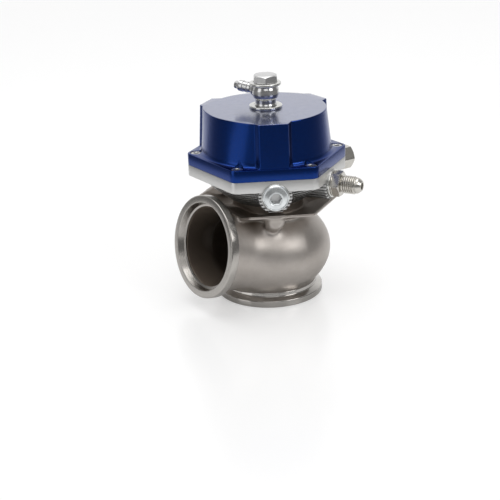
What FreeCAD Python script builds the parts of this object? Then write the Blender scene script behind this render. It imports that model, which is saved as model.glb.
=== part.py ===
import FreeCAD, Part
import math
import os

os.makedirs("parts", exist_ok=True)
Vec = FreeCAD.Vector

# External wastegate, sizes in millimetres. +Z is the valve's axis and z = 0 is the inlet face.
# The outlet points towards -X and is pitched up. Flats and ports are named by their bearing
# about +Z, in degrees from +X.

# Clearances
fit = 0.05          # radial room of a piece pushed or screwed home
run = 0.06          # radial room of the sliding stem
face_gap = 0.1      # room between a spring's end and its seat
valve_gap = 0.15    # closed valve to its seat, square to the cone
gasket = 0.8

# Renewable seat and poppet valve
seat_dia = 53.0
seat_wall = 3.5
seat_lip_width = 3.0
seat_lip = 2.5
seat_recess = 0.2
seat_top = 13.7
seat_land = 1.2
valve_inset = 1.5           # valve's edge inside the seat ring's outside
valve_edge = 1.0
valve_recess = 0.1          # valve's foot above the end of the seat's bore
valve_dish_dia = 35.0
valve_dish = 1.5
tulip_height = 9.5
valve_lift = 12.0
seat_bore = seat_dia - 2 * seat_wall
seat_lip_dia = seat_dia + 2 * seat_lip_width
valve_dia = seat_dia - 2 * valve_inset

# Stem, guide and bush
stem_dia = 8.0
stem_thread_step = 1.0
guide_wall = 3.0
guide_flange_width = 2.0
guide_flange = 2.0
guide_boss_wall = 4.0
guide_length = 17.9
bush_wall = 2.5
bush_length = 3.4
seal_length = 2.5
bush_cover = 0.6
bush_boss_wall = 2.0
bush_boss_lip = 0.8
bush_boss_room = 0.8
stem_thread_dia = stem_dia - 2 * stem_thread_step
guide_dia = stem_dia + 2 * guide_wall
guide_flange_dia = guide_dia + 2 * guide_flange_width
guide_boss_dia = guide_dia + 2 * guide_boss_wall
bush_dia = stem_dia + 2 * bush_wall
bush_boss_dia = bush_dia + 2 * bush_boss_wall

# Bolts that hold the lower housing on the casting's hub
body_bolt_dia = 5.0
body_bolt_head_dia = 9.0
body_bolt_head = 3.0
body_bolt_length = 10.5
body_bolt_room = 2.0
body_bolt_edge = 7.0
body_bolt_spare = 1.0
body_bolt_bearings = (60, 180, 300)
body_bolt_circle = bush_boss_dia + body_bolt_head_dia + 2 * body_bolt_room
hub_dia = body_bolt_circle + 2 * body_bolt_edge

# Cast valve body
neck_wall = 2.0
inlet_flange_width = 5.3
inlet_rim = 4.0
outlet_flange_dia = 63.9
outlet_rim = 5.2
rim_slope = 26.0            # back of both flanges, degrees from the flange plane
outlet_bore = 50.0
outlet_reach = 51.7
outlet_tilt = 9.7
outlet_rise = 2.3           # outlet's axis over the bulb's middle, on the valve's axis
outlet_shoulder = 0.6       # step from the tube up to the flange's turned back
outlet_step_dia = 55.2      # shallow step that centres the pipe's flange
outlet_step = 0.8
bulb_swell = 10.7           # how far the bulb stands out past the inlet's neck
bulb_height = 60.0
bulb_foot = -0.5
cast_wall = 3.5
outlet_top_dip = 4.2        # how far the tube's top line sinks below the lower housing
outlet_belly_rise = 1.8
outlet_root_inset = 1.4     # how far the tube starts inside the bulb's skin
outlet_swell = 1.5          # exponent of the tube's widening towards the bulb
hub_rise = 3.4
neck_dia = seat_dia + 2 * neck_wall
inlet_flange_dia = neck_dia + 2 * inlet_flange_width
bulb_dia = neck_dia + 2 * bulb_swell
bulb_middle = bulb_foot + bulb_height / 2
outlet_height = bulb_middle + outlet_rise
hub_top = bulb_foot + bulb_height + hub_rise
guide_boss_bottom = hub_top - guide_length

# Diaphragm, the plates that clamp it and the chamber that it rolls in
diaphragm_thick = 1.2
lower_plate_inset = 2.0
lower_plate = 1.8
lower_plate_chamfer = 0.5
spring_seat_dia = 52.0
spring_seat_wall = 1.6
spring_seat_height = 4.9
spring_seat_chamfer = 1.0
hat_room = 1.2              # between the spring seat and the diaphragm's cone
roll_width = 6.6
roll_room = 0.4
clamped_width = 5.0
stem_washer_width = 5.0
stem_washer = 1.2
stem_nut_flats = 10.0
stem_nut = 5.0
stem_tail = 0.9
diaphragm_hat_dia = spring_seat_dia + 2 * (diaphragm_thick + hat_room)
diaphragm_shoulder_dia = diaphragm_hat_dia + 2 * roll_width
diaphragm_dia = diaphragm_shoulder_dia + 2 * clamped_width
chamber_dia = diaphragm_shoulder_dia + 2 * roll_room
lower_plate_dia = spring_seat_dia - 2 * lower_plate_inset
stem_washer_dia = stem_thread_dia + 2 * stem_washer_width

# Lower housing
plate_edge = 3.5            # flat's edge outside the clamped diaphragm
plate_thick = 7.1
plate_corner = 5.5
bowl_height = 15.5
bowl_wall = 6.1
bowl_foot_width = 2.0
bowl_bulge = 1.2
bowl_floor = 4.3
floor_inset = 3.5
fin_pitch = 2.1
fin_thick = 1.2
fin_depth = 2.6
chamber_rim = 4.3
plate_rest_gap = 1.6        # lowest place of the lower plate over the bush's boss
port_boss_dia = 20.4
port_boss_cover = 0.1
port_core_step = 1.6
port_spot_step = 0.6
port_spot = 0.4
port_depth = 7.0
port_thread_dia = 9.8
port_passage_dia = 5.0
plug_bearing = 240.0
flare_bearing = 300.0
rear_bearing = 0.0
tray_top = hub_top + gasket
plate_bottom = tray_top + bowl_height
plate_top = plate_bottom + plate_thick
plate_apothem = diaphragm_dia / 2 + plate_edge
bowl_foot_dia = hub_dia + 2 * bowl_foot_width
bowl_top_dia = chamber_dia + 2 * bowl_wall
floor_dia = bowl_foot_dia - 2 * floor_inset
chamber_knee = plate_top - chamber_rim
bush_seat_top = tray_top + bush_length + seal_length + bush_cover
bush_boss_top = bush_seat_top + bush_boss_lip
plate_rest = bush_boss_top + plate_rest_gap
stem_washer_low = plate_rest + lower_plate + diaphragm_thick + spring_seat_wall
port_height = plate_top - port_boss_dia / 2 - port_boss_cover
port_start = plate_apothem - port_depth
port_core_dia = port_boss_dia - 2 * port_core_step

# Hexagonal tray on top of the casting
tray_inset = 2.5            # tray's flats inside the lower housing's
tray_lip = 2.0
tray_rim = 1.9
tray_corner = 1.2
tray_foot_width = 3.0
tray_depth = 9.4
tray_hollow = 6.9
tray_hub_room = 2.5
clamp_room_dia = 74.0       # space for the outlet's V-band clamp
clamp_room_start = 39.0     # along the outlet's axis
boss_dia = 17.4
boss_depth = 10.1
boss_tip_dia = 7.0
boss_set = 6.0              # boss's centre inside the tray's flat
boss_inset = 0.4
tray_apothem = plate_apothem - tray_inset
tray_foot_apothem = hub_dia / 2 + tray_foot_width
tray_foot = tray_top - tray_depth
tray_floor = tray_top - tray_hollow
boss_bottom = tray_top - boss_depth
boss_reach = tray_apothem - boss_set

# Cap
cap_flange = 7.3
spring_block = 14.7         # room the springs need above the flange with the valve wide open
dome_set = 0.5              # dome's foot outside the diaphragm's edge
dome_draft = 3.2
dome_fillet = 2.2
dome_sink = 0.4             # how far the foot's fillet ends inside the wall
dome_edge = 0.7
cap_wall = 3.6
cap_ledge = 1.0             # cap's clamping land inside the dome's wall
cap_roof = 3.8
pad_width = 17.0
pad_flare = 5.0
pad_root = 2.6              # pad's root inside the dome's head
pad_root_depth = 2.0
pad_foot_stand = 2.3        # pad's face outside the dome at its foot
pad_head_stand = 3.9
pad_bearings = (0, 120, 240)
cap_boss = 6.5
screw_set = 0.5             # screws' circle outside the plate's flats
screw_dia = 4.0
screw_head_dia = 7.0
screw_head = 4.0
screw_head_room = 0.3
screw_recess = 4.3
screw_grip = 9.2
screw_socket = 3.0
screw_spare = 0.5
cap_flange_top = plate_top + cap_flange
cap_top = cap_flange_top + valve_lift + spring_block
dome_foot_dia = diaphragm_dia + 2 * dome_set
dome_top_dia = dome_foot_dia - 2 * dome_draft
pad_foot = dome_foot_dia / 2 + pad_foot_stand
pad_head = dome_top_dia / 2 + pad_head_stand
screw_circle = 2 * (plate_apothem + screw_set)

# Springs
outer_wire = 3.2
outer_turns = 5.0
inner_wire = 2.5
inner_turns = 6.0
wire_sides = 8
spring_room = 2.8           # outer spring inside the seat's wall
spring_gap = 4.15           # between the two springs
spring_core_room = 2.75     # inner spring outside the cap's boss
outer_spring_dia = spring_seat_dia - 2 * (spring_seat_wall + spring_room) - outer_wire
inner_spring_dia = outer_spring_dia - outer_wire - 2 * spring_gap - inner_wire
cap_boss_dia = inner_spring_dia - inner_wire - 2 * spring_core_room

# Banjo union on the cap
banjo_thread_dia = 10.0
lower_washer_dia = 20.4
lower_washer = 1.6
upper_washer_dia = 19.4
upper_washer = 1.5
banjo_neck_wall = 1.4
banjo_neck = 4.0
banjo_foot = 0.8
banjo_foot_height = 1.0
banjo_belly = 1.7
banjo_height = 8.6
banjo_groove = 1.0
banjo_groove_width = 5.0
banjo_head_flats = 14.0
banjo_head = 4.7
banjo_bolt_length = 26.0
banjo_drilling = 4.0
barb_bearing = 112.0
barb_rise = 5.0
barb_reach = 22.5
barb_dia = 6.9
barb_step = 0.6
barb_tip_dia = 4.8
barb_bore = 3.2
barb_start = 1.5
barb_count = 3
banjo_neck_dia = banjo_thread_dia + 2 * banjo_neck_wall
banjo_dia = banjo_neck_dia + 2 * banjo_belly

# Plug and flare fittings in the ports
shank_room = 0.5            # port's thread beyond the fitting's shank
plug_washer = 1.0
plug_washer_width = 0.3
plug_shank_chamfer = 0.8
plug_head_dia = 16.4
plug_face_dia = 14.2
plug_head = 2.5
plug_rim = 0.9
plug_socket = 6.0
plug_socket_deep = 2.6
fitting_washer_dia = 17.6
fitting_washer = 1.5
fitting_flats = 14.3
fitting_hex = 5.6
fitting_collar_width = 0.8
fitting_collar = 0.8
fitting_neck_dia = 9.6
fitting_neck = 0.8
flare_thread_dia = 11.1
flare_thread = 7.4
flare_shoulder = 0.5
flare_nose = 4.9
flare_tip_dia = 6.6
flare_bore = 4.3
flare_cap_flats = 14.2
flare_cap_length = 14.5
flare_cap_room = 0.5
corner_cut = 0.6            # turned-off corners of a small hexagon, along its axis
hex_slope = 30.0            # their slope, degrees from the end face
port_face = plate_apothem - port_spot
shank_start = port_start + shank_room


def ring(outer, inner, low, high):
    """A flat ring about Z, given by its diameters and its two heights."""
    body = Part.makeCylinder(outer / 2, high - low, Vec(0, 0, low))
    if inner > 0:
        body = body.cut(Part.makeCylinder(inner / 2, high - low, Vec(0, 0, low)))
    return body


def turned(points):
    """A solid turned about Z from straight runs between (radius, height) points."""
    outline = [Vec(r, 0, z) for r, z in points]
    outline.append(outline[0])
    face = Part.Face(Part.makePolygon(outline))
    return face.revolve(Vec(0, 0, 0), Vec(0, 0, 1), 360)


def turned_edges(edges):
    """A solid turned about Z from a closed chain of edges in the XZ plane."""
    face = Part.Face(Part.Wire(edges))
    return face.revolve(Vec(0, 0, 0), Vec(0, 0, 1), 360)


def line(r0, z0, r1, z1):
    return Part.LineSegment(Vec(r0, 0, z0), Vec(r1, 0, z1)).toShape()


def bow(start, middle, end):
    """An arc in the XZ plane through three (radius, height) points."""
    return Part.Arc(*[Vec(r, 0, z) for r, z in (start, middle, end)]).toShape()


def hexagon(apothem, corner, height):
    """A hexagon whose flats face 0, 60, ... degrees, with rounded corners."""
    half_side = apothem * math.tan(math.radians(30))
    short = corner * math.tan(math.radians(30))
    edges = []
    for k in range(6):
        bearing = math.radians(60 * k)
        out = Vec(math.cos(bearing), math.sin(bearing), 0)
        side = Vec(-math.sin(bearing), math.cos(bearing), 0)
        turn = math.radians(60 * k + 30)
        middle = Vec(math.cos(turn), math.sin(turn), 0)
        centre = middle * ((apothem - corner) / math.cos(math.radians(30)))
        level = Vec(0, 0, height)
        first = out * apothem - side * (half_side - short) + level
        last = out * apothem + side * (half_side - short) + level
        after = centre + Vec(math.cos(turn + math.pi / 6), math.sin(turn + math.pi / 6), 0) * corner + level
        edges.append(Part.LineSegment(first, last).toShape())
        edges.append(Part.Arc(last, centre + middle * corner + level, after).toShape())
    return Part.Wire(edges)


def hex_prism(apothem, corner, low, high):
    face = Part.Face(hexagon(apothem, corner, low))
    return face.extrude(Vec(0, 0, high - low))


def hex_taper(low_apothem, low, high_apothem, high, corner):
    """A tapered hexagonal block between two heights."""
    foot = hexagon(low_apothem, corner, low)
    head = hexagon(high_apothem, corner, high)
    return Part.makeLoft([foot, head], True, True)


def hex_bar(flats, low, high, chamfer=0.0, turn=0.0):
    """A hexagon bar along Z whose ends have their corners turned off."""
    corner_radius = flats / 2 / math.cos(math.radians(30))
    points = []
    for k in range(7):
        bearing = math.radians(60 * k + 30 + turn)
        points.append(Vec(corner_radius * math.cos(bearing), corner_radius * math.sin(bearing), low))
    bar = Part.Face(Part.makePolygon(points)).extrude(Vec(0, 0, high - low))
    if chamfer <= 0:
        return bar
    inner = corner_radius - chamfer / math.tan(math.radians(hex_slope))
    round_off = turned([(0, low), (corner_radius, low), (corner_radius, high - chamfer), (inner, high),
                        (0, high)])
    return bar.common(round_off)


def about_z(shape, bearing):
    copy = shape.copy()
    copy.rotate(Vec(0, 0, 0), Vec(0, 0, 1), bearing)
    return copy


def on_port(shape, bearing, height=port_height):
    """Lays a shape modelled along +Z on a radial axis: its z becomes the distance from the valve."""
    copy = shape.copy()
    copy.rotate(Vec(0, 0, 0), Vec(0, 1, 0), 90)
    copy.rotate(Vec(0, 0, 0), Vec(0, 0, 1), bearing)
    copy.translate(Vec(0, 0, height))
    return copy


def on_outlet(shape):
    """Lays a shape modelled along +Z on the outlet's axis, with its +X side up."""
    copy = shape.copy()
    copy.rotate(Vec(0, 0, 0), Vec(0, 1, 0), outlet_tilt - 90)
    copy.translate(Vec(0, 0, outlet_height))
    return copy


def tube_section(along, half_width, top, bottom):
    """One oval section of the outlet tube, square to the outlet's axis."""
    half_height = (top - bottom) / 2
    place = FreeCAD.Matrix()
    place.scale(half_height, half_width, 1.0)
    oval = Part.Circle(Vec(0, 0, 0), Vec(0, 0, 1), 1.0).toShape().transformGeometry(place)
    oval.translate(Vec((top + bottom) / 2, 0, along))
    return Part.Wire([oval])


def outlet_tube(inside):
    """The tube between bulb and outlet: oval sections that settle into the flange's round neck."""
    skin = cast_wall if inside else 0.0
    end = outlet_reach - outlet_rim
    tube_radius = outlet_bore / 2 + cast_wall
    root_radius = bulb_dia / 2 - outlet_root_inset
    top_start = bulb_middle + bulb_height / 2 - outlet_height - outlet_root_inset
    floor_start = -outlet_height
    if inside:
        floor_start = seat_top - outlet_height
    sections = []
    for step in (0.0, 0.25, 0.5, 0.75, 1.0):
        swell = (1 - step) ** outlet_swell
        half_width = tube_radius + (root_radius - tube_radius) * swell - skin
        dip = outlet_top_dip * math.sin(math.pi * step)
        top = top_start * (1 - step) + tube_radius * step - dip - skin
        bottom = floor_start * (1 - step) - (tube_radius - skin) * step
        if not inside:
            bottom += outlet_belly_rise * math.sin(math.pi * step)
        sections.append(tube_section(step * end, half_width, top, bottom))
    return on_outlet(Part.makeLoft(sections, True, False))


def bulb(inside):
    """The chamber's oblate bulb about the valve's axis, as a half ellipse turned about Z."""
    skin = cast_wall if inside else 0.0
    wide = bulb_dia / 2 - skin
    tall = bulb_height / 2 - skin
    ellipse = Part.Ellipse(Vec(wide, 0, bulb_middle), Vec(0, 0, bulb_middle + tall), Vec(0, 0, bulb_middle))
    half = Part.ArcOfEllipse(ellipse, -math.pi / 2, math.pi / 2).toShape()
    return turned_edges([half, line(0, bulb_middle + tall, 0, bulb_middle - tall)])


def flange(dia, rim, neck):
    """A V-band flange that starts at z = 0 and thins to its neck along +Z."""
    slope = (dia - neck) / 2 * math.tan(math.radians(rim_slope))
    return turned([(0, 0), (dia / 2, 0), (dia / 2, rim), (neck / 2, rim + slope), (0, rim + slope)])


def tray():
    """The hexagonal tray: a tapered dish with a lip, cut back round the outlet's clamp."""
    lip_bottom = tray_top - tray_lip
    dish = hex_taper(tray_foot_apothem, tray_foot, tray_apothem, lip_bottom, tray_corner)
    dish = dish.fuse(hex_prism(tray_apothem, tray_corner, lip_bottom, tray_top))
    hollow_foot = hub_dia / 2 + tray_hub_room
    hollow = hex_taper(hollow_foot, tray_floor, tray_apothem - tray_rim, tray_top, tray_corner)
    dish = dish.cut(hollow)
    clamp = Part.makeCylinder(clamp_room_dia / 2, outlet_reach, Vec(0, 0, clamp_room_start))
    return dish.cut(on_outlet(clamp))


def tray_boss(bearing):
    """A short blind boss under the tray: a cone that narrows to a rounded tip, cut flush with the rim."""
    tip = boss_tip_dia / 2
    foot = Vec(boss_reach, 0, boss_bottom + tip)
    cone = Part.makeCone(tip, boss_dia / 2, tray_top - tray_lip - foot.z, foot)
    ball = Part.makeSphere(tip, foot)
    boss = about_z(cone.fuse(ball), bearing)
    return boss.common(hex_prism(tray_apothem - boss_inset, tray_corner, 0, tray_top))


def valve_body():
    """The casting with both V-band flanges, its gas passage, the tray and the guide's hub."""
    neck = ring(neck_dia, 0, inlet_rim, bulb_middle)
    body = bulb(False).fuse(neck).fuse(outlet_tube(False))
    body = body.cut(ring(bulb_dia, 0, -bulb_height, 0))
    body = body.fuse(flange(inlet_flange_dia, inlet_rim, neck_dia))
    outlet_neck = outlet_bore + 2 * (cast_wall + outlet_shoulder)
    outlet_flange = flange(outlet_flange_dia, outlet_rim, outlet_neck)
    outlet_flange.rotate(Vec(0, 0, 0), Vec(1, 0, 0), 180)
    outlet_flange.translate(Vec(0, 0, outlet_reach))
    body = body.fuse(on_outlet(outlet_flange))
    body = body.fuse(tray()).fuse(ring(hub_dia, 0, tray_foot, hub_top))
    body = body.fuse(ring(2 * tray_foot_apothem, 0, bulb_middle, tray_foot))
    for bearing in pad_bearings:
        body = body.fuse(tray_boss(bearing))
    foot = Vec(0, 0, guide_boss_bottom)
    guide_boss = Part.makeCone(guide_flange_dia / 2, guide_boss_dia / 2, guide_length, foot)
    chamber = bulb(True).fuse(outlet_tube(True)).cut(guide_boss)
    body = body.cut(chamber)
    body = body.cut(ring(seat_dia + 2 * fit, 0, -1, seat_top))
    body = body.cut(ring(seat_lip_dia + 2 * fit, 0, -1, seat_lip))
    bore = Part.makeCylinder(outlet_bore / 2, outlet_rim, Vec(0, 0, outlet_reach - outlet_rim))
    step = Part.makeCylinder(outlet_step_dia / 2, outlet_rim, Vec(0, 0, outlet_reach - outlet_step))
    body = body.cut(on_outlet(bore.fuse(step)))
    body = body.cut(ring(guide_dia + 2 * fit, 0, guide_boss_bottom - 1, hub_top))
    body = body.cut(ring(guide_flange_dia + 2 * fit, 0, hub_top - guide_flange, hub_top))
    for bearing in body_bolt_bearings:
        body = body.cut(about_z(bolt_hole(body_bolt_dia), bearing))
    return body.removeSplitter()


def bolt_hole(dia):
    """The blind hole in the hub for one bolt of the lower housing, on bearing 0."""
    depth = body_bolt_length - gasket - bowl_floor + body_bolt_spare
    return Part.makeCylinder(dia / 2 + fit, depth, Vec(body_bolt_circle / 2, 0, hub_top - depth))


def seat_ring():
    """The renewable valve seat, dropped into the inlet with its lip under the pipe's flange."""
    bore = seat_bore / 2
    land = seat_dia / 2 - seat_land
    return turned([(bore, seat_recess), (seat_lip_dia / 2, seat_recess), (seat_lip_dia / 2, seat_lip),
                   (seat_dia / 2, seat_lip), (seat_dia / 2, seat_top), (land, seat_top),
                   (bore, seat_top - (land - bore))])


def valve_guide():
    return turned([(stem_dia / 2 + run, guide_boss_bottom), (guide_dia / 2, guide_boss_bottom),
                   (guide_dia / 2, hub_top - guide_flange), (guide_flange_dia / 2, hub_top - guide_flange),
                   (guide_flange_dia / 2, hub_top), (stem_dia / 2 + run, hub_top)])


def valve():
    """The poppet valve: a 45 degree seating cone, a tulip back and the threaded stem's end."""
    land = seat_dia / 2 - seat_land
    offset = land - seat_top - valve_gap * math.sqrt(2)
    edge = valve_dia / 2
    cone_top = edge - offset
    bottom = seat_top - (land - seat_bore / 2) + valve_recess
    foot = bottom + offset
    back = cone_top + valve_edge
    stem = stem_dia / 2
    thread = stem_thread_dia / 2
    top = stem_washer_low + stem_washer + stem_nut + stem_tail
    rise = back + tulip_height
    crown = back + 0.04 * tulip_height
    waist = (stem + 0.21 * (edge - stem), back + 0.33 * tulip_height)
    edges = [line(0, bottom + valve_dish, valve_dish_dia / 2 - valve_dish, bottom + valve_dish),
             line(valve_dish_dia / 2 - valve_dish, bottom + valve_dish, valve_dish_dia / 2, bottom),
             line(valve_dish_dia / 2, bottom, foot, bottom),
             line(foot, bottom, edge, cone_top),
             line(edge, cone_top, edge, back),
             line(edge, back, 0.8 * edge, crown),
             bow((0.8 * edge, crown), waist, (stem, rise)),
             line(stem, rise, stem, plate_rest),
             line(stem, plate_rest, thread, plate_rest),
             line(thread, plate_rest, thread, top),
             line(thread, top, 0, top),
             line(0, top, 0, bottom + valve_dish)]
    return turned_edges(edges)


def heat_gasket():
    body = ring(hub_dia, guide_flange_dia + 4 * fit, hub_top, hub_top + gasket)
    for bearing in body_bolt_bearings:
        foot = Vec(body_bolt_circle / 2, 0, hub_top)
        hole = Part.makeCylinder(body_bolt_dia / 2 + fit, gasket, foot)
        body = body.cut(about_z(hole, bearing))
    return body


def bowl_arc(inset, low, high):
    """The bowl's flank as an arc, set in by the given amount."""
    foot = (bowl_foot_dia / 2 - inset, low)
    head = (bowl_top_dia / 2 - inset, high)
    middle = ((foot[0] + head[0]) / 2 + bowl_bulge, (low + high) / 2)
    return bow(foot, middle, head)


def bowl(inset, low, high):
    foot = bowl_foot_dia / 2 - inset
    head = bowl_top_dia / 2 - inset
    return turned_edges([line(0, low, foot, low), bowl_arc(inset, low, high), line(head, high, 0, high),
                         line(0, high, 0, low)])


def lower_housing():
    """The finned lower half: hexagonal plate, round bowl with level fins and three port bosses."""
    foot = tray_top
    finned = bowl(0, foot, plate_bottom)
    ports = (plug_bearing, flare_bearing, rear_bearing)
    root = bowl_foot_dia / 2
    for bearing in ports:
        boss = Part.makeCylinder(port_boss_dia / 2, port_face - root, Vec(0, 0, root))
        finned = finned.fuse(on_port(boss, bearing))
    groove = foot + fin_thick
    while groove < plate_bottom:
        top = min(groove + fin_pitch - fin_thick, plate_bottom)
        finned = finned.cut(ring(3 * plate_apothem, 0, groove, top))
        groove += fin_pitch
    body = hex_prism(plate_apothem, plate_corner, plate_bottom, plate_top)
    body = body.fuse(bowl(fin_depth, foot, plate_bottom)).fuse(finned)
    for bearing in ports:
        core = Part.makeCylinder(port_core_dia / 2, port_face - root, Vec(0, 0, root))
        spot = Part.makeCylinder(port_boss_dia / 2 - port_spot_step, port_depth, Vec(0, 0, port_face))
        body = body.fuse(on_port(core, bearing)).cut(on_port(spot, bearing))
    floor = foot + bowl_floor
    knee = (chamber_dia / 2, chamber_knee)
    heel = (floor_dia / 2, floor)
    middle = ((knee[0] + heel[0]) / 2 + bowl_bulge, (knee[1] + heel[1]) / 2)
    chamber = turned_edges([line(0, floor, heel[0], heel[1]), bow(heel, middle, knee),
                            line(knee[0], knee[1], knee[0], plate_top),
                            line(knee[0], plate_top, 0, plate_top), line(0, plate_top, 0, floor)])
    body = body.cut(chamber.cut(ring(bush_boss_dia, 0, foot, bush_boss_top)))
    body = body.cut(ring(bush_dia + 2 * fit, 0, foot, bush_seat_top))
    body = body.cut(ring(stem_dia + 2 * bush_boss_room, 0, foot, bush_boss_top))
    body = body.cut(ring(diaphragm_dia + 2 * fit, 0, plate_top - diaphragm_thick, plate_top))
    for bearing in ports:
        thread = Part.makeCylinder(port_thread_dia / 2 + fit, port_depth, Vec(0, 0, port_start))
        inward = Vec(0, 0, chamber_dia / 4)
        passage = Part.makeCylinder(port_passage_dia / 2, port_start - inward.z, inward)
        body = body.cut(on_port(thread.fuse(passage), bearing))
    for bearing in body_bolt_bearings:
        hole = Part.makeCylinder(body_bolt_dia / 2 + fit, bowl_floor, Vec(body_bolt_circle / 2, 0, foot))
        body = body.cut(about_z(hole, bearing))
    depth = screw_grip - (cap_flange - screw_recess) + screw_spare
    for k in range(6):
        hole = Part.makeCylinder(screw_dia / 2 + fit, depth, Vec(screw_circle / 2, 0, plate_top - depth))
        body = body.cut(about_z(hole, 60 * k + 30))
    return body.removeSplitter()


def stem_bush():
    return ring(bush_dia, stem_dia + 2 * run, tray_top, tray_top + bush_length)


def stem_seal():
    """A lip seal above the bush, with a groove in its upper face."""
    low = tray_top + bush_length
    high = low + seal_length
    inner = stem_dia / 2 + run
    outer = bush_dia / 2
    middle = (inner + outer) / 2
    side = (outer - inner) / 4
    return turned([(inner, low), (outer, low), (outer, high), (middle + side, high),
                   (middle, high - seal_length / 2), (middle - side, high), (inner, high)])


def housing_bolts():
    """Three low-headed bolts that hold the lower housing down on the casting's hub."""
    floor = tray_top + bowl_floor
    bolts = []
    for bearing in body_bolt_bearings:
        head = ring(body_bolt_head_dia, 0, floor, floor + body_bolt_head)
        head = head.cut(hex_bar(screw_socket, floor + body_bolt_head / 2, floor + body_bolt_head))
        bolt = head.fuse(ring(body_bolt_dia, 0, floor - body_bolt_length, floor))
        bolt.translate(Vec(body_bolt_circle / 2, 0, 0))
        bolts.append(about_z(bolt, bearing))
    return Part.makeCompound(bolts)


def diaphragm():
    """The rolling diaphragm: a clamped flange, a conical wall and the disc between the two plates."""
    rim = plate_top - diaphragm_thick
    disc = plate_rest + lower_plate
    outer = diaphragm_dia / 2
    shoulder = diaphragm_shoulder_dia / 2
    hat = diaphragm_hat_dia / 2
    hole = stem_thread_dia / 2 + fit
    return turned([(hole, disc), (hat, disc), (shoulder, rim), (outer, rim), (outer, plate_top),
                   (shoulder - diaphragm_thick, plate_top), (hat - diaphragm_thick, disc + diaphragm_thick),
                   (hole, disc + diaphragm_thick)])


def lower_plate_disc():
    """The lower plate, with its outer corner below taken off so that it clears the chamber's flank."""
    hole = stem_thread_dia / 2 + fit
    outer = lower_plate_dia / 2
    high = plate_rest + lower_plate
    return turned([(hole, plate_rest), (outer - lower_plate_chamfer, plate_rest),
                   (outer, plate_rest + lower_plate_chamfer), (outer, high), (hole, high)])


def spring_seat():
    """The upper plate: a shallow cup that clamps the diaphragm and holds both springs."""
    low = plate_rest + lower_plate + diaphragm_thick
    high = low + spring_seat_height
    outer = spring_seat_dia / 2
    inner = outer - spring_seat_wall
    hole = stem_thread_dia / 2 + fit
    return turned([(hole, low), (outer - spring_seat_chamfer, low), (outer, low + spring_seat_chamfer),
                   (outer, high), (inner, high), (inner, stem_washer_low), (hole, stem_washer_low)])


def stem_washer_ring():
    return ring(stem_washer_dia, stem_thread_dia + 2 * fit, stem_washer_low, stem_washer_low + stem_washer)


def stem_lock_nut():
    low = stem_washer_low + stem_washer
    bore = ring(stem_thread_dia + 2 * fit, 0, low, low + stem_nut)
    return hex_bar(stem_nut_flats, low, low + stem_nut, corner_cut).cut(bore)


def coil_spring(mean_dia, wire, turns):
    """An eight-sided wire wound as a helix between the spring seat and the cap's roof."""
    low = stem_washer_low + face_gap + wire / 2
    high = cap_top - cap_roof - face_gap - wire / 2
    helix = Part.makeHelix((high - low) / turns, high - low, mean_dia / 2)
    corners = []
    for k in range(wire_sides + 1):
        turn = 2 * math.pi * (k + 0.5) / wire_sides
        corners.append(Vec(mean_dia / 2 + wire / 2 * math.cos(turn), 0, wire / 2 * math.sin(turn)))
    coil = Part.Wire(helix.Edges).makePipeShell([Part.makePolygon(corners)], True, True)
    coil.translate(Vec(0, 0, low))
    return coil


def pad(bearing):
    """One flat pad on the dome, flared at its sides into the round wall."""
    half = pad_width / 2
    base = dome_top_dia / 2 - pad_root
    heel = base - pad_root_depth
    low = cap_flange_top - pad_root_depth
    arc = pad_flare * (1 - math.sqrt(0.5))
    edges = [Part.LineSegment(Vec(pad_foot, -half, low), Vec(pad_foot, half, low)).toShape(),
             Part.LineSegment(Vec(heel, -half - pad_flare, low), Vec(heel, half + pad_flare, low)).toShape()]
    for side in (1, -1):
        neck = Vec(base + pad_flare, side * half, low)
        bend = Vec(base + arc, side * (half + arc), low)
        foot = Vec(base, side * (half + pad_flare), low)
        edges.append(Part.LineSegment(Vec(pad_foot, side * half, low), neck).toShape())
        edges.append(Part.Arc(neck, bend, foot).toShape())
        edges.append(Part.LineSegment(foot, Vec(heel, side * (half + pad_flare), low)).toShape())
    block = Part.Face(Part.Wire(Part.__sortEdges__(edges))).extrude(Vec(0, 0, cap_top - low))
    side = pad_width + pad_flare
    outline = [Vec(0, -side, low), Vec(pad_foot, -side, low), Vec(pad_foot, -side, cap_flange_top),
               Vec(pad_head, -side, cap_top), Vec(0, -side, cap_top), Vec(0, -side, low)]
    wedge = Part.Face(Part.makePolygon(outline)).extrude(Vec(0, 2 * side, 0))
    return about_z(block.common(wedge), bearing)


def dome_foot_fillet():
    """The round in the corner between the dome's foot and the flange's top."""
    foot = dome_foot_dia / 2
    low = cap_flange_top
    high = low + dome_fillet
    inner = foot - cap_wall
    end = foot - dome_sink
    bulge = dome_fillet * (1 - math.sqrt(0.5))
    return turned_edges([line(inner, low, foot + dome_fillet, low),
                         bow((foot + dome_fillet, low), (foot + bulge, low + bulge), (end, high)),
                         line(end, high, inner, high), line(inner, high, inner, low)])


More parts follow.
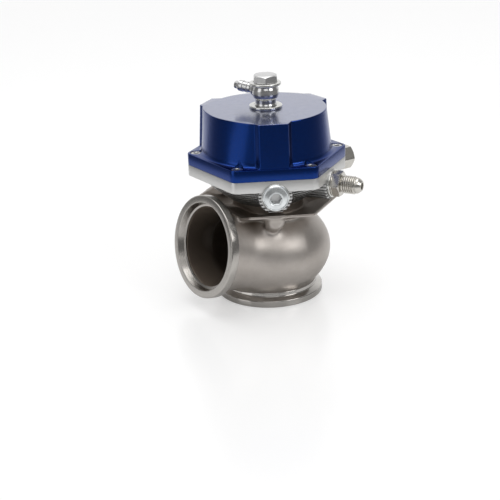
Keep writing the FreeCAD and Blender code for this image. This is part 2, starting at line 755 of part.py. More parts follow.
def cap():
    """The spring cap: hexagonal flange, tapered dome with three pads, and the boss for the banjo bolt."""
    foot = dome_foot_dia / 2
    head = dome_top_dia / 2
    dome = turned([(0, plate_top), (foot, plate_top), (foot, cap_flange_top), (head, cap_top - dome_edge),
                   (head - dome_edge, cap_top), (0, cap_top)])
    body = hex_prism(plate_apothem, plate_corner, plate_top, cap_flange_top)
    body = body.fuse(dome).fuse(dome_foot_fillet())
    for bearing in pad_bearings:
        body = body.fuse(pad(bearing))
    roof = cap_top - cap_roof
    land = foot - cap_wall - cap_ledge
    hollow = turned([(0, plate_top), (land, plate_top), (land, cap_flange_top), (head - cap_wall, roof),
                     (0, roof)])
    hollow = hollow.cut(ring(cap_boss_dia, 0, roof - cap_boss, roof))
    body = body.cut(hollow)
    body = body.cut(ring(banjo_thread_dia + 2 * fit, 0, roof - cap_boss, cap_top))
    seat = Vec(screw_circle / 2, 0, cap_flange_top - screw_recess)
    through = Part.makeCylinder(screw_dia / 2 + fit, cap_flange, Vec(screw_circle / 2, 0, plate_top))
    recess = Part.makeCylinder(screw_head_dia / 2 + screw_head_room, cap_top, seat)
    for k in range(6):
        body = body.cut(about_z(through.fuse(recess), 60 * k + 30))
    return body.removeSplitter()


def cap_screws():
    """Six socket screws that clamp the cap, the diaphragm and the lower housing together."""
    seat = cap_flange_top - screw_recess
    screws = []
    for k in range(6):
        screw = ring(screw_head_dia, 0, seat, seat + screw_head)
        screw = screw.fuse(ring(screw_dia, 0, seat - screw_grip, seat))
        screw = screw.cut(hex_bar(screw_socket, seat + screw_head / 2, seat + screw_head))
        screw.translate(Vec(screw_circle / 2, 0, 0))
        screws.append(about_z(screw, 60 * k + 30))
    return Part.makeCompound(screws)


def banjo_levels():
    """Heights of the union's stack on the cap: washer, neck, ring, washer, head."""
    neck = cap_top + lower_washer
    eye = neck + banjo_neck
    washer = eye + banjo_height
    return neck, eye, washer, washer + upper_washer


def banjo_bolt():
    neck, eye, washer, head = banjo_levels()
    bottom = head - banjo_bolt_length
    bolt = ring(banjo_thread_dia, banjo_drilling, bottom, eye + banjo_height / 2)
    bolt = bolt.fuse(ring(banjo_thread_dia, 0, eye + banjo_height / 2, head))
    bolt = bolt.fuse(hex_bar(banjo_head_flats, head, head + banjo_head, corner_cut, turn=plug_bearing - 30))
    cross = Part.makeCylinder(banjo_drilling / 2, 2 * banjo_thread_dia, Vec(0, 0, -banjo_thread_dia))
    return bolt.cut(on_port(cross, barb_bearing, eye + banjo_height / 2 - banjo_drilling / 4))


def barb_axis(shape):
    """Lays a shape modelled along +Z on the hose barb's axis, which rises a little."""
    neck, eye, washer, head = banjo_levels()
    copy = shape.copy()
    copy.rotate(Vec(0, 0, 0), Vec(0, 1, 0), 90 - barb_rise)
    copy.rotate(Vec(0, 0, 0), Vec(0, 0, 1), barb_bearing)
    copy.translate(Vec(0, 0, eye + banjo_height / 2))
    return copy


def banjo_fitting():
    """The banjo ring on its neck, with the ribbed hose barb brazed into its side."""
    neck, eye, washer, head = banjo_levels()
    waist = banjo_neck_dia / 2
    belly = banjo_dia / 2
    hole = banjo_thread_dia / 2 + fit
    middle = (eye + washer) / 2
    foot = waist + banjo_foot
    shoulder = neck + banjo_foot_height
    body = turned_edges([line(hole, neck, foot, neck), line(foot, neck, waist, shoulder),
                         line(waist, shoulder, waist, eye),
                         bow((waist, eye), (belly, middle), (waist, washer)),
                         line(waist, washer, hole, washer), line(hole, washer, hole, neck)])
    start = belly + barb_start
    pitch = (barb_reach - start) / barb_count
    root = barb_dia / 2 - barb_step
    points = [(0, hole + banjo_groove), (root, hole + banjo_groove), (root, start)]
    for k in range(barb_count):
        foot = start + k * pitch
        points.append((barb_dia / 2, foot))
        tip = barb_tip_dia / 2 if k == barb_count - 1 else root
        points.append((tip, foot + pitch))
    points.append((0, barb_reach))
    body = body.fuse(barb_axis(turned(points)))
    body = body.cut(ring(2 * hole, 0, neck, washer))
    groove = banjo_groove_width / 2
    body = body.cut(ring(2 * (hole + banjo_groove), 0, middle - groove, middle + groove))
    body = body.cut(barb_axis(Part.makeCylinder(barb_bore / 2, barb_reach, Vec(0, 0, hole))))
    return body


def port_plug():
    """The socket plug of the front port, its head turned to a cone."""
    face = port_face + plug_washer
    shank = port_thread_dia / 2
    head = plug_head_dia / 2
    top = face + plug_head
    plug = turned([(0, shank_start), (shank - plug_shank_chamfer, shank_start),
                   (shank, shank_start + plug_shank_chamfer), (shank, face), (head, face),
                   (head, face + plug_rim), (plug_face_dia / 2, top), (0, top)])
    return plug.cut(hex_bar(plug_socket, top - plug_socket_deep, top))


def flare_adapter():
    """A straight adapter: port thread, hexagon, parallel thread and the nose for the hose's flare."""
    face = port_face + fitting_washer
    hex_end = face + fitting_hex
    neck_end = hex_end + fitting_neck
    thread_end = neck_end + flare_thread
    tip = thread_end + flare_nose
    thread = flare_thread_dia / 2
    end = flare_tip_dia / 2
    root = port_thread_dia / 2
    neck = fitting_neck_dia / 2
    nose = thread - flare_shoulder
    bend = ((nose + 2 * end) / 3 + flare_shoulder, (thread_end + tip) / 2)
    shank = [line(0, shank_start, root, shank_start),
             line(root, shank_start, root, hex_end),
             line(root, hex_end, neck, hex_end),
             line(neck, hex_end, neck, neck_end),
             line(neck, neck_end, thread, neck_end),
             line(thread, neck_end, thread, thread_end),
             line(thread, thread_end, nose, thread_end),
             bow((nose, thread_end), bend, (end, tip)),
             line(end, tip, 0, tip),
             line(0, tip, 0, shank_start)]
    body = turned_edges(shank)
    collar_top = face + fitting_collar
    collar = ring(fitting_flats + 2 * fitting_collar_width, 0, face, collar_top)
    body = body.fuse(hex_bar(fitting_flats, collar_top, hex_end, corner_cut)).fuse(collar)
    return body.cut(ring(flare_bore, 0, shank_start, tip))


def flare_cap():
    """The blanking cap screwed over the rear adapter's thread."""
    low = port_face + fitting_washer + fitting_hex + fitting_neck + fit
    high = low + flare_cap_length
    room = flare_thread + flare_nose + flare_cap_room
    bore = ring(flare_thread_dia + 2 * fit, 0, low, low + room)
    return hex_bar(flare_cap_flats, low, high, corner_cut).cut(bore)


def port_washer(dia, thick, bearing):
    washer = ring(dia, port_thread_dia + 4 * fit, port_face, port_face + thick)
    return on_port(washer, bearing)


def cap_washer(dia, low, thick):
    return ring(dia, banjo_thread_dia + 4 * fit, low, low + thick)


pieces = {
    "valve_body": valve_body(),
    "valve_seat_ring": seat_ring(),
    "valve_guide": valve_guide(),
    "poppet_valve": valve(),
    "heat_gasket": heat_gasket(),
    "lower_housing": lower_housing(),
    "stem_bush": stem_bush(),
    "stem_seal": stem_seal(),
    "housing_bolts": housing_bolts(),
    "diaphragm": diaphragm(),
    "lower_plate": lower_plate_disc(),
    "spring_seat": spring_seat(),
    "stem_washer": stem_washer_ring(),
    "stem_nut": stem_lock_nut(),
    "outer_spring": coil_spring(outer_spring_dia, outer_wire, outer_turns),
    "inner_spring": coil_spring(inner_spring_dia, inner_wire, inner_turns),
    "cap": cap(),
    "cap_screws": cap_screws(),
    "lower_sealing_washer": cap_washer(lower_washer_dia, cap_top, lower_washer),
    "banjo_fitting": banjo_fitting(),
    "upper_sealing_washer": cap_washer(upper_washer_dia, banjo_levels()[2], upper_washer),
    "banjo_bolt": banjo_bolt(),
    "front_port_plug": on_port(port_plug(), plug_bearing),
    "front_plug_washer": port_washer(plug_head_dia + 2 * plug_washer_width, plug_washer, plug_bearing),
    "flare_adapter": on_port(flare_adapter(), flare_bearing),
    "flare_adapter_washer": port_washer(fitting_washer_dia, fitting_washer, flare_bearing),
    "rear_adapter": on_port(flare_adapter(), rear_bearing),
    "rear_adapter_washer": port_washer(fitting_washer_dia, fitting_washer, rear_bearing),
    "rear_flare_cap": on_port(flare_cap(), rear_bearing),
}

for name, shape in pieces.items():
    shape.exportStep("parts/" + name + ".step")
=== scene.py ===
import math

import bmesh
import bpy
import numpy as np
from mathutils import Matrix, Vector


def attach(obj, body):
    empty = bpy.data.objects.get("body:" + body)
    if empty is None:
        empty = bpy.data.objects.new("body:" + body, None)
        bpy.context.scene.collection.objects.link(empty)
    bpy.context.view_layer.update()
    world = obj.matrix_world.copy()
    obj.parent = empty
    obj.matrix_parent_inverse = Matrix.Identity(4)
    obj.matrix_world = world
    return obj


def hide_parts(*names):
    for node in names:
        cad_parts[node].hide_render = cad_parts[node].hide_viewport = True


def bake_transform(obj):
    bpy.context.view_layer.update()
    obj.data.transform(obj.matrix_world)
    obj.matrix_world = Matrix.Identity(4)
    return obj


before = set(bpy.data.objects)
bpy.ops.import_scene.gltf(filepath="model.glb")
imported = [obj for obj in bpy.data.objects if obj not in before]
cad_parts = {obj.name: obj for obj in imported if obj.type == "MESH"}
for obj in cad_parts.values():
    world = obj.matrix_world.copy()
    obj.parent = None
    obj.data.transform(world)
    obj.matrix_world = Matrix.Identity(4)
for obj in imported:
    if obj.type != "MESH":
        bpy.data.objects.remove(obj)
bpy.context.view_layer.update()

scene = bpy.context.scene
mm = 0.001

# Camera
# It stands to the left of the front flat and above it, a long way back, behind a long lens.
camera_azimuth = math.radians(-35.06)
camera_elevation = math.radians(21.44)
camera_roll = math.radians(-1.684)
camera_place = Vector((-0.4291, -0.5900, 0.3125))
camera_lens = 87.72

back = Vector((math.sin(camera_azimuth) * math.cos(camera_elevation),
               -math.cos(camera_azimuth) * math.cos(camera_elevation), math.sin(camera_elevation)))
level = Vector((math.cos(camera_azimuth), math.sin(camera_azimuth), 0.0))
rise = back.cross(level)
across = level * math.cos(camera_roll) + rise * math.sin(camera_roll)
upright = rise * math.cos(camera_roll) - level * math.sin(camera_roll)
camera = bpy.data.objects.new("camera", bpy.data.cameras.new("camera"))
camera.data.lens = camera_lens
camera.data.sensor_width = 36.0
camera.data.clip_start = 0.01
camera.data.clip_end = 20.0
camera.matrix_world = Matrix(((across.x, upright.x, back.x, camera_place.x),
                              (across.y, upright.y, back.y, camera_place.y),
                              (across.z, upright.z, back.z, camera_place.z),
                              (0, 0, 0, 1)))
scene.collection.objects.link(camera)
scene.camera = camera
scene.view_settings.view_transform = "Standard"

# Studio
# White paper under soft boxes: a wide one overhead, a tall one at the left and two in front.
# Polished metal sees where the paper ends, the pale backdrop and the darker room behind.


class Num:
    """A number that varies over a surface: wraps a node's socket, and adds Math nodes for its sums."""

    def __init__(self, tree, socket):
        self.tree = tree
        self.socket = socket

    def _math(self, operation, other=None, swap=False):
        node = self.tree.nodes.new("ShaderNodeMath")
        node.operation = operation
        pair = [self, other] if not swap else [other, self]
        for place, term in enumerate(pair):
            if isinstance(term, Num):
                self.tree.links.new(term.socket, node.inputs[place])
            elif term is not None:
                node.inputs[place].default_value = term
        return Num(self.tree, node.outputs[0])

    def __add__(self, other):
        return self._math("ADD", other)

    def __radd__(self, other):
        return self._math("ADD", other)

    def __sub__(self, other):
        return self._math("SUBTRACT", other)

    def __rsub__(self, other):
        return self._math("SUBTRACT", other, swap=True)

    def __mul__(self, other):
        return self._math("MULTIPLY", other)

    def __rmul__(self, other):
        return self._math("MULTIPLY", other)

    def __truediv__(self, other):
        return self._math("DIVIDE", other)

    def above(self, edge, soft):
        """0 below the edge and 1 above it, with a soft step between."""
        return ((self - edge) / soft + 0.5).clamped()

    def clamped(self):
        result = self._math("ADD", 0.0)
        result.socket.node.use_clamp = True
        return result

    def root(self):
        return self._math("SQRT")

    def greatest(self, other):
        return self._math("MAXIMUM", other)

    def sine(self):
        return self._math("SINE")

    def size(self):
        return self._math("ABSOLUTE")


class Finish:
    """A material under construction: its node tree, its shader and short ways to add nodes."""

    def __init__(self, name):
        self.material = bpy.data.materials.new(name)
        self.material.use_nodes = True
        self.tree = self.material.node_tree
        self.shader = self.tree.nodes["Principled BSDF"]

    def node(self, kind, settings=None, **sockets):
        """Adds one node: its settings first, then the values or links of its sockets."""
        node = self.tree.nodes.new(kind)
        for key, value in (settings or {}).items():
            setattr(node, key, value)
        for key, value in sockets.items():
            socket = node.inputs[key.replace("_", " ")] if not key.startswith("slot") else node.inputs[int(key[4:])]
            if isinstance(value, Num):
                value = value.socket
            if isinstance(value, bpy.types.NodeSocket):
                self.tree.links.new(value, socket)
            else:
                socket.default_value = value
        return node

    def place(self):
        """The point in the object's own coordinates, in metres."""
        return self.node("ShaderNodeTexCoord").outputs["Object"]

    def parts(self, vector):
        split = self.node("ShaderNodeSeparateXYZ", Vector=vector)
        return [Num(self.tree, split.outputs[k]) for k in range(3)]

    def noise(self, vector, scale, detail=3.0, rough=0.5):
        node = self.node("ShaderNodeTexNoise", Vector=vector, Scale=scale, Detail=detail, Roughness=rough)
        return Num(self.tree, node.outputs[0])

    def stretched(self, vector, x, y, z):
        return self.node("ShaderNodeVectorMath", {"operation": "MULTIPLY"}, slot0=vector, slot1=(x, y, z)).outputs[0]

    def mix(self, share, first, second):
        """A colour between two colours."""
        node = self.tree.nodes.new("ShaderNodeMix")
        node.data_type = "RGBA"
        for place, value in ((0, share), (6, first), (7, second)):
            if isinstance(value, Num):
                value = value.socket
            if isinstance(value, bpy.types.NodeSocket):
                self.tree.links.new(value, node.inputs[place])
            else:
                node.inputs[place].default_value = value if place == 0 else (*value, 1.0)
        return node.outputs[2]

    def set(self, **sockets):
        """Sets or links the shader's sockets."""
        for key, value in sockets.items():
            socket = self.shader.inputs[key.replace("_", " ")]
            if isinstance(value, Num):
                value = value.socket
            if isinstance(value, bpy.types.NodeSocket):
                self.tree.links.new(value, socket)
            elif key in ("Base_Color", "Emission_Color"):
                socket.default_value = (*value, 1.0)
            else:
                socket.default_value = value

    def bump(self, height, distance, strength=1.0):
        node = self.node("ShaderNodeBump", Height=height, Distance=distance, Strength=strength)
        self.set(Normal=node.outputs[0])


floor_size = 6.0
floor_mesh = bpy.data.meshes.new("floor")
floor_mesh.from_pydata([(x * floor_size, y * floor_size, -0.0002) for x, y in ((-1, -1), (1, -1), (1, 1), (-1, 1))],
                       [], [(0, 1, 2, 3)])
floor = bpy.data.objects.new("floor", floor_mesh)
scene.collection.objects.link(floor)
table_top = Finish("table_top")
px, py, pz = table_top.parts(table_top.place())
nearer = px * (back.x / math.cos(camera_elevation)) + py * (back.y / math.cos(camera_elevation))
aside = (px * level.x + py * level.y).size() + 0.25 * nearer
rays = table_top.node("ShaderNodeLightPath")
to_camera = Num(table_top.tree, rays.outputs["Is Camera Ray"])
paper_edge, edge_blur = 0.33, 0.12
off_paper = nearer.above(paper_edge, edge_blur).greatest(aside.above(paper_edge, edge_blur)) * (1 - to_camera)
table_top.set(Base_Color=table_top.mix(off_paper, (0.72, 0.72, 0.72), (0.20, 0.20, 0.20)), Roughness=0.22)
# Painted shadow: round the object's foot, the floor's glow is darkened like a contact shadow, as metal sees it in
# reflections.
painted_contact_shadow = (1 - (px * px + py * py).root().above(0.060, 0.05)) * (1 - to_camera)
glow_colour = table_top.mix(off_paper.greatest(painted_contact_shadow), (1, 1, 1), (0.25, 0.25, 0.25))
glow = table_top.node("ShaderNodeEmission", Color=glow_colour, Strength=0.42)
seen = to_camera.greatest(Num(table_top.tree, rays.outputs["Is Glossy Ray"]))
seen = seen.greatest(Num(table_top.tree, rays.outputs["Is Transmission Ray"]))
both = table_top.node("ShaderNodeAddShader", slot0=table_top.shader.outputs[0], slot1=glow.outputs[0])
choice = table_top.node("ShaderNodeMixShader", slot0=seen, slot1=table_top.shader.outputs[0], slot2=both.outputs[0])
table_top.tree.links.new(choice.outputs[0], table_top.tree.nodes["Material Output"].inputs["Surface"])
floor_mesh.materials.append(table_top.material)

world = bpy.data.worlds.new("room")
world.use_nodes = True
scene.world = world
sky = world.node_tree
direction = sky.nodes.new("ShaderNodeTexCoord").outputs["Generated"]
split = sky.nodes.new("ShaderNodeSeparateXYZ")
sky.links.new(direction, split.inputs[0])
height_of_ray = Num(sky, split.outputs[2])


def facing(bearing_vector):
    """How nearly a ray of the world points along a level direction, from -1 to 1."""
    product = sky.nodes.new("ShaderNodeVectorMath")
    product.operation = "DOT_PRODUCT"
    sky.links.new(direction, product.inputs[0])
    product.inputs[1].default_value = (bearing_vector[0], bearing_vector[1], 0.0)
    return Num(sky, product.outputs["Value"])


backdrop = facing((-back.x, -back.y)).above(0.52, 0.45)
overhead = height_of_ray.above(0.75, 0.3)
walls = 0.22 + 0.78 * backdrop.greatest(overhead)
light_path = sky.nodes.new("ShaderNodeLightPath")
camera_ray = Num(sky, light_path.outputs["Is Camera Ray"])
glossy_ray = Num(sky, light_path.outputs["Is Glossy Ray"])
mirror_ray = glossy_ray.greatest(Num(sky, light_path.outputs["Is Transmission Ray"]))
strength = camera_ray + (1 - camera_ray) * (mirror_ray * walls + (1 - mirror_ray) * 0.29)
sky.links.new(strength.socket, sky.nodes["Background"].inputs["Strength"])
sky.nodes["Background"].inputs["Color"].default_value = (1, 1, 1, 1)

soft_boxes = (("overhead", (0.05, 0.10, 0.95), (0.9, 0.9), 4.0),
              ("left_box", (-1.0, 0.05, 0.35), (0.5, 0.9), 1.6),
              ("front_left_box", (-0.50, -0.80, 0.80), (0.60, 0.40), 0.9),
              ("front_right_box", (0.28, -0.88, 0.62), (0.45, 0.40), 2.1))
for name, place, extent, power in soft_boxes:
    lamp = bpy.data.lights.new(name, "AREA")
    lamp.shape = "RECTANGLE"
    lamp.size, lamp.size_y = extent
    lamp.energy = power
    box = bpy.data.objects.new(name, lamp)
    box.location = place
    box.rotation_euler = (Vector((0, 0, 0.07)) - Vector(place)).to_track_quat("-Z", "Y").to_euler()
    box.visible_camera = False
    scene.collection.objects.link(box)

# Valve body, the casting
# Investment-cast stainless steel, bead-blasted. Its skin is where a distance field crosses zero:
# bulb, outlet tube, neck, tray, hub and bosses melt into each other with cast fillets, and the
# gas passage is taken away from them.
outlet_tilt = math.radians(9.7)
outlet_axis = np.array((-math.cos(outlet_tilt), 0.0, math.sin(outlet_tilt)))
outlet_up = np.array((math.sin(outlet_tilt), 0.0, math.cos(outlet_tilt)))
outlet_height = 31.8
outlet_reach = 51.7
outlet_rim = 5.2
bulb_radius = 39.2
bulb_half_height = 30.0
bulb_middle = 29.5
cast_wall = 3.5
tube_radius = 28.5
neck_radius = 28.2
tray_top = 63.7
tray_apothem = 41.0
tray_slope = math.radians(20.4)
boss_circle = 35.0
boss_radius = 6.2
boss_middle = 60.5
boss_drop = 2.2
clamp_radius = 37.0
hub_radius = 22.0
hub_top = 62.9
seat_top = 13.7
cast_step = 0.85
tray_step = 0.5
split_height = 53.4
split_overlap = 0.9


def melt(a, b, blend):
    """The union of two distance fields with a fillet: a quadratic blend where they differ by less than blend."""
    share = np.clip(0.5 + 0.5 * (b - a) / blend, 0, 1)
    return b + (a - b) * share - blend * share * (1 - share)


def carve(a, b, blend):
    """Field a without field b, with the edge rounded over."""
    return -melt(-a, b, blend)


def ellipsoid(x, y, z, wide, tall):
    """Distance to an oblate ball: the scaled radius less one, over the length of its slope."""
    scaled = np.sqrt((x * x + y * y) / wide ** 2 + z * z / tall ** 2)
    slope = np.sqrt((x * x + y * y) / wide ** 4 + z * z / tall ** 4)
    return scaled * (scaled - 1) / np.maximum(slope, 1e-6)


def drum(x, y, z, radius, low, high):
    """Distance to an upright cylinder between two heights."""
    return np.maximum(np.hypot(x, y) - radius, np.maximum(low - z, z - high))


def hexagon_reach(x, y):
    """How far a point lies out along the nearest of the six flats."""
    reach = np.abs(x)
    for bearing in (60, 120):
        turn = math.radians(bearing)
        reach = np.maximum(reach, np.abs(x * math.cos(turn) + y * math.sin(turn)))
    return reach


def tube(x, y, z, inside):
    """Distance to the outlet tube, whose oval section changes along its tilted axis."""
    skin = cast_wall if inside else 0.0
    along = x * outlet_axis[0] + (z - outlet_height) * outlet_axis[2]
    above = x * outlet_up[0] + (z - outlet_height) * outlet_up[2]
    t = np.clip(along / (outlet_reach - outlet_rim), 0, 1)
    root = bulb_radius - 1.4
    sunk = skin + 1.8 * (1 - t) ** 3
    wide = tube_radius + (root - tube_radius) * (1 - t) ** 1.5 - sunk
    top = (bulb_middle + bulb_half_height - outlet_height - 1.4) * (1 - t) + tube_radius * t
    top = top - 4.2 * np.sin(math.pi * t) - sunk
    start = seat_top - outlet_height if inside else -outlet_height
    bottom = start * (1 - t) - (tube_radius - sunk) * t + (sunk - skin) * (1 - t)
    if not inside:
        bottom = bottom + 1.8 * np.sin(math.pi * t)
    tall = (top - bottom) / 2
    past_root = np.minimum(along, 0) / 26.0
    oval = np.sqrt(((above - (top + bottom) / 2) / tall) ** 2 + (y / wide) ** 2 + past_root ** 2)
    end = outlet_reach if inside else outlet_reach - outlet_rim + 0.3
    return np.maximum((oval - 1) * np.minimum(tall, wide), along - end)


def casting(x, y, z):
    """Distance to the whole casting, in millimetres, negative inside the metal."""
    body = ellipsoid(x, y, z - bulb_middle, bulb_radius, bulb_half_height)
    body = melt(body, tube(x, y, z, False), 7.0)
    body = melt(body, drum(x, y, z, neck_radius, -5, 12), 4.0)
    reach = hexagon_reach(x, y)
    under = (55.9 - z) * math.cos(tray_slope) + (reach - 25.0) * math.sin(tray_slope)
    hollow = (z - 57.4) * math.cos(tray_slope) - (reach - 24.5) * math.sin(tray_slope)
    hollow = np.minimum(hollow, z - 56.8)
    dish = np.maximum(reach - tray_apothem, under)
    dish = carve(dish, -hollow, 0.5)
    dish = np.maximum(dish, z - tray_top)
    along = x * outlet_axis[0] + (z - outlet_height) * outlet_axis[2]
    above = x * outlet_up[0] + (z - outlet_height) * outlet_up[2]
    clamp_room = np.maximum(np.hypot(above, y) - clamp_radius, 39.0 - along)
    dish = carve(dish, clamp_room, 1.2)
    for bearing in (0, 120, 240):
        turn = math.radians(bearing)
        cx, cy = boss_circle * math.cos(turn), boss_circle * math.sin(turn)
        down = np.clip(boss_middle - z, 0, boss_drop)
        post = np.sqrt((x - cx) ** 2 + (y - cy) ** 2 + (z - boss_middle + down) ** 2) - boss_radius
        posts = post if bearing == 0 else np.minimum(posts, post)
    body = melt(body, drum(x, y, z, 25.0, bulb_middle, 54.6), 3.0)
    body = melt(body, np.maximum(posts, np.maximum(reach - 40.6, z - 61.5)), 8.0)
    body = melt(body, dish, 3.0)
    body = melt(body, drum(x, y, z, hub_radius, bulb_middle, hub_top), 1.2)
    passage = ellipsoid(x, y, z - bulb_middle, bulb_radius - cast_wall, bulb_half_height - cast_wall)
    passage = melt(passage, tube(x, y, z, True), 3.0)
    guide_boss = np.maximum(np.hypot(x, y) - 9.0 - 0.07 * (z - 45.0), 45.0 - z)
    passage = carve(passage, guide_boss, 3.0)
    passage = melt(passage, drum(x, y, z, 26.5, -10, seat_top), 0.6)
    body = carve(body, passage, 0.8)
    body = carve(body, drum(x, y, z, 7.1, 40, 80), 0.3)
    return np.maximum(body, 1.2 - z)


def field_skin(field, low, high, step):
    """The zero surface of a field on a box of cells. Each cell that the surface crosses gets one point, the mean
    of the crossings on its edges, and each crossed edge gets one quad. The points then slide down the field."""
    counts = [int(math.ceil((b - a) / step)) + 1 for a, b in zip(low, high)]
    axes = [a + step * np.arange(n) for a, n in zip(low, counts)]
    x, y, z = np.meshgrid(*axes, indexing="ij")
    value = field(x, y, z)
    cells = [n - 1 for n in counts]
    total = np.zeros((*cells, 3))
    number = np.zeros(cells)
    quads = []
    corner = np.stack((x, y, z), -1)
    order = np.arange(np.prod(cells)).reshape(cells)
    for axis in range(3):
        first = [slice(None)] * 3
        second = [slice(None)] * 3
        first[axis], second[axis] = slice(None, -1), slice(1, None)
        a, b = value[tuple(first)], value[tuple(second)]
        crossed = (a < 0) != (b < 0)
        share = np.where(crossed, a / np.where(a == b, 1, a - b), 0)
        point = corner[tuple(first)].copy()
        point[..., axis] += share * step
        others = [k for k in range(3) if k != axis]
        inner = [slice(1, -1)] * 3
        inner[axis] = slice(None)
        mark, spot, sign = crossed[tuple(inner)], point[tuple(inner)], (a < 0)[tuple(inner)]
        around = []
        for p, q in ((0, 0), (1, 0), (1, 1), (0, 1)):
            reach = [slice(None)] * 3
            reach[others[0]] = slice(p, cells[others[0]] - 1 + p)
            reach[others[1]] = slice(q, cells[others[1]] - 1 + q)
            total[tuple(reach)] += spot * mark[..., None]
            number[tuple(reach)] += mark
            around.append(order[tuple(reach)][mark])
        quad = np.stack(around, -1)
        flip = sign[mark] if axis != 1 else ~sign[mark]
        quads.append(np.where(flip[:, None], quad, quad[:, ::-1]))
    used = number > 0
    points = total[used] / number[used][:, None]
    renumber = np.cumsum(used.ravel()) - 1
    faces = renumber[np.concatenate(quads)]
    start = points.copy()
    for _ in range(4):
        here = field(*points.T)
        nudge = 0.04
        slope = np.stack([field(*(points + nudge * axis).T) - field(*(points - nudge * axis).T)
                          for axis in np.eye(3)], -1) / (2 * nudge)
        points = points - np.clip(here, -0.5, 0.5)[:, None] * slope / np.maximum((slope ** 2).sum(-1), 0.25)[:, None]
        points = start + np.clip(points - start, -step, step)
    return points, faces


def add_mesh(name, points, faces, sharp=None):
    """Puts points in millimetres and faces into a new object at the origin. Edges over sharp degrees stay sharp."""
    mesh = bpy.data.meshes.new(name)
    faces = np.asarray(faces, np.int32)
    mesh.vertices.add(len(points))
    mesh.vertices.foreach_set("co", (np.asarray(points) * mm).astype(np.float32).ravel())
    mesh.loops.add(faces.size)
    mesh.loops.foreach_set("vertex_index", faces.ravel())
    mesh.polygons.add(len(faces))
    mesh.polygons.foreach_set("loop_start", np.arange(0, faces.size, faces.shape[1], dtype=np.int32))
    mesh.update(calc_edges=True)
    work = bmesh.new()
    work.from_mesh(mesh)
    bmesh.ops.remove_doubles(work, verts=work.verts, dist=2e-6)
    bmesh.ops.dissolve_degenerate(work, edges=work.edges, dist=1e-7)
    bmesh.ops.recalc_face_normals(work, faces=work.faces)
    work.to_mesh(mesh)
    work.free()
    mesh.shade_smooth()
    if sharp is not None:
        mesh.set_sharp_from_angle(angle=math.radians(sharp))
    made = bpy.data.objects.new(name, mesh)
    scene.collection.objects.link(made)
    return made


def fit_out(piece, body, finish, slot, *nodes):
    """Gives a finished piece its material and its body, and hides the CAD nodes it stands for. Its slot is not used.
    """
    piece.data.materials.clear()
    piece.data.materials.append(finish.material)
    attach(piece, body)
    if nodes:
        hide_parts(*nodes)


cast_skin = Finish("bead_blasted_casting")
spot = cast_skin.place()
px, py, pz = cast_skin.parts(spot)
along_tube = outlet_axis[0] * px * 1000 + outlet_axis[2] * (pz * 1000 - outlet_height)
above_tube = outlet_up[0] * px * 1000 + outlet_up[2] * (pz * 1000 - outlet_height)
off_tube = (above_tube * above_tube + py * py * 1e6).root()
# Painted shade: the outlet's bore, the bulb's cavity and the tray's hollow are masked here. Below, they get a darker
# colour for the shade that falls in them.
tube_bore_shade = (1 - off_tube.above(27.0, 1.6)) * along_tube.above(4.0, 4.0)
off_bulb = ((px * px + py * py) / 0.0374 ** 2 + (pz - 0.0295) * (pz - 0.0295) / 0.0282 ** 2).root()
bulb_cavity_shade = 1 - off_bulb.above(1.0, 0.03)
reach = px.size().greatest((0.5 * px + 0.866 * py).size()).greatest((0.866 * py - 0.5 * px).size())
tray_hollow_shade = (0.937 * pz - 0.3486 * reach).above(0.0445, 0.0004) * (1 - pz.above(0.0631, 0.0004))
inside = tube_bore_shade.greatest(bulb_cavity_shade).greatest(0.75 * tray_hollow_shade)
grit = cast_skin.noise(spot, 2600.0, 2.0, 0.6)
blotch = cast_skin.noise(spot, 90.0, 4.0, 0.6)
drift = cast_skin.noise(spot, 22.0, 3.0, 0.5)
outside_colour = cast_skin.mix(blotch.above(0.5, 0.5), (0.40, 0.365, 0.335), (0.50, 0.465, 0.435))
outside_colour = cast_skin.mix(drift.above(0.62, 0.3) * 0.5, outside_colour, (0.33, 0.285, 0.25))
speck = grit.above(0.66, 0.08) * 0.35
outside_colour = cast_skin.mix(speck, outside_colour, (0.62, 0.60, 0.57))
# The inside mask paints shade: a darker, rougher colour in the bore, the cavity and the tray's hollow.
cast_skin.set(Base_Color=cast_skin.mix(inside, outside_colour, (0.21, 0.172, 0.14)), Metallic=0.85,
              Roughness=0.34 + 0.1 * blotch + 0.2 * inside)
cast_skin.bump(grit + 0.6 * cast_skin.noise(spot, 1100.0, 2.0, 0.5), 0.00007, 0.55)


def below_split(x, y, z):
    """The casting up to just above the split."""
    return np.maximum(casting(x, y, z), z - split_height - split_overlap)


def above_split(x, y, z):
    """The casting from just below the split, so that the two skins overlap with no seam."""
    return np.maximum(casting(x, y, z), split_height - split_overlap - z)


for name, field, low, high, step in (("casting_body", below_split, -0.5, split_height + 2.0, cast_step),
                                     ("casting_tray", above_split, split_height - 2.0, 66.0, tray_step)):
    skin_points, skin_faces = field_skin(field, (-52, -49, low), (50, 49, high), step)
    casting_piece = add_mesh(name, skin_points, skin_faces)
    fit_out(casting_piece, "housing", cast_skin, "cast_steel", "valve_body")

# Both V-band flanges
# The rims are turned after casting: flat face, square rim and the sloping back that the clamp
# pulls on. The inlet's has a short neck ring too. Turning leaves fine rings round each axis.


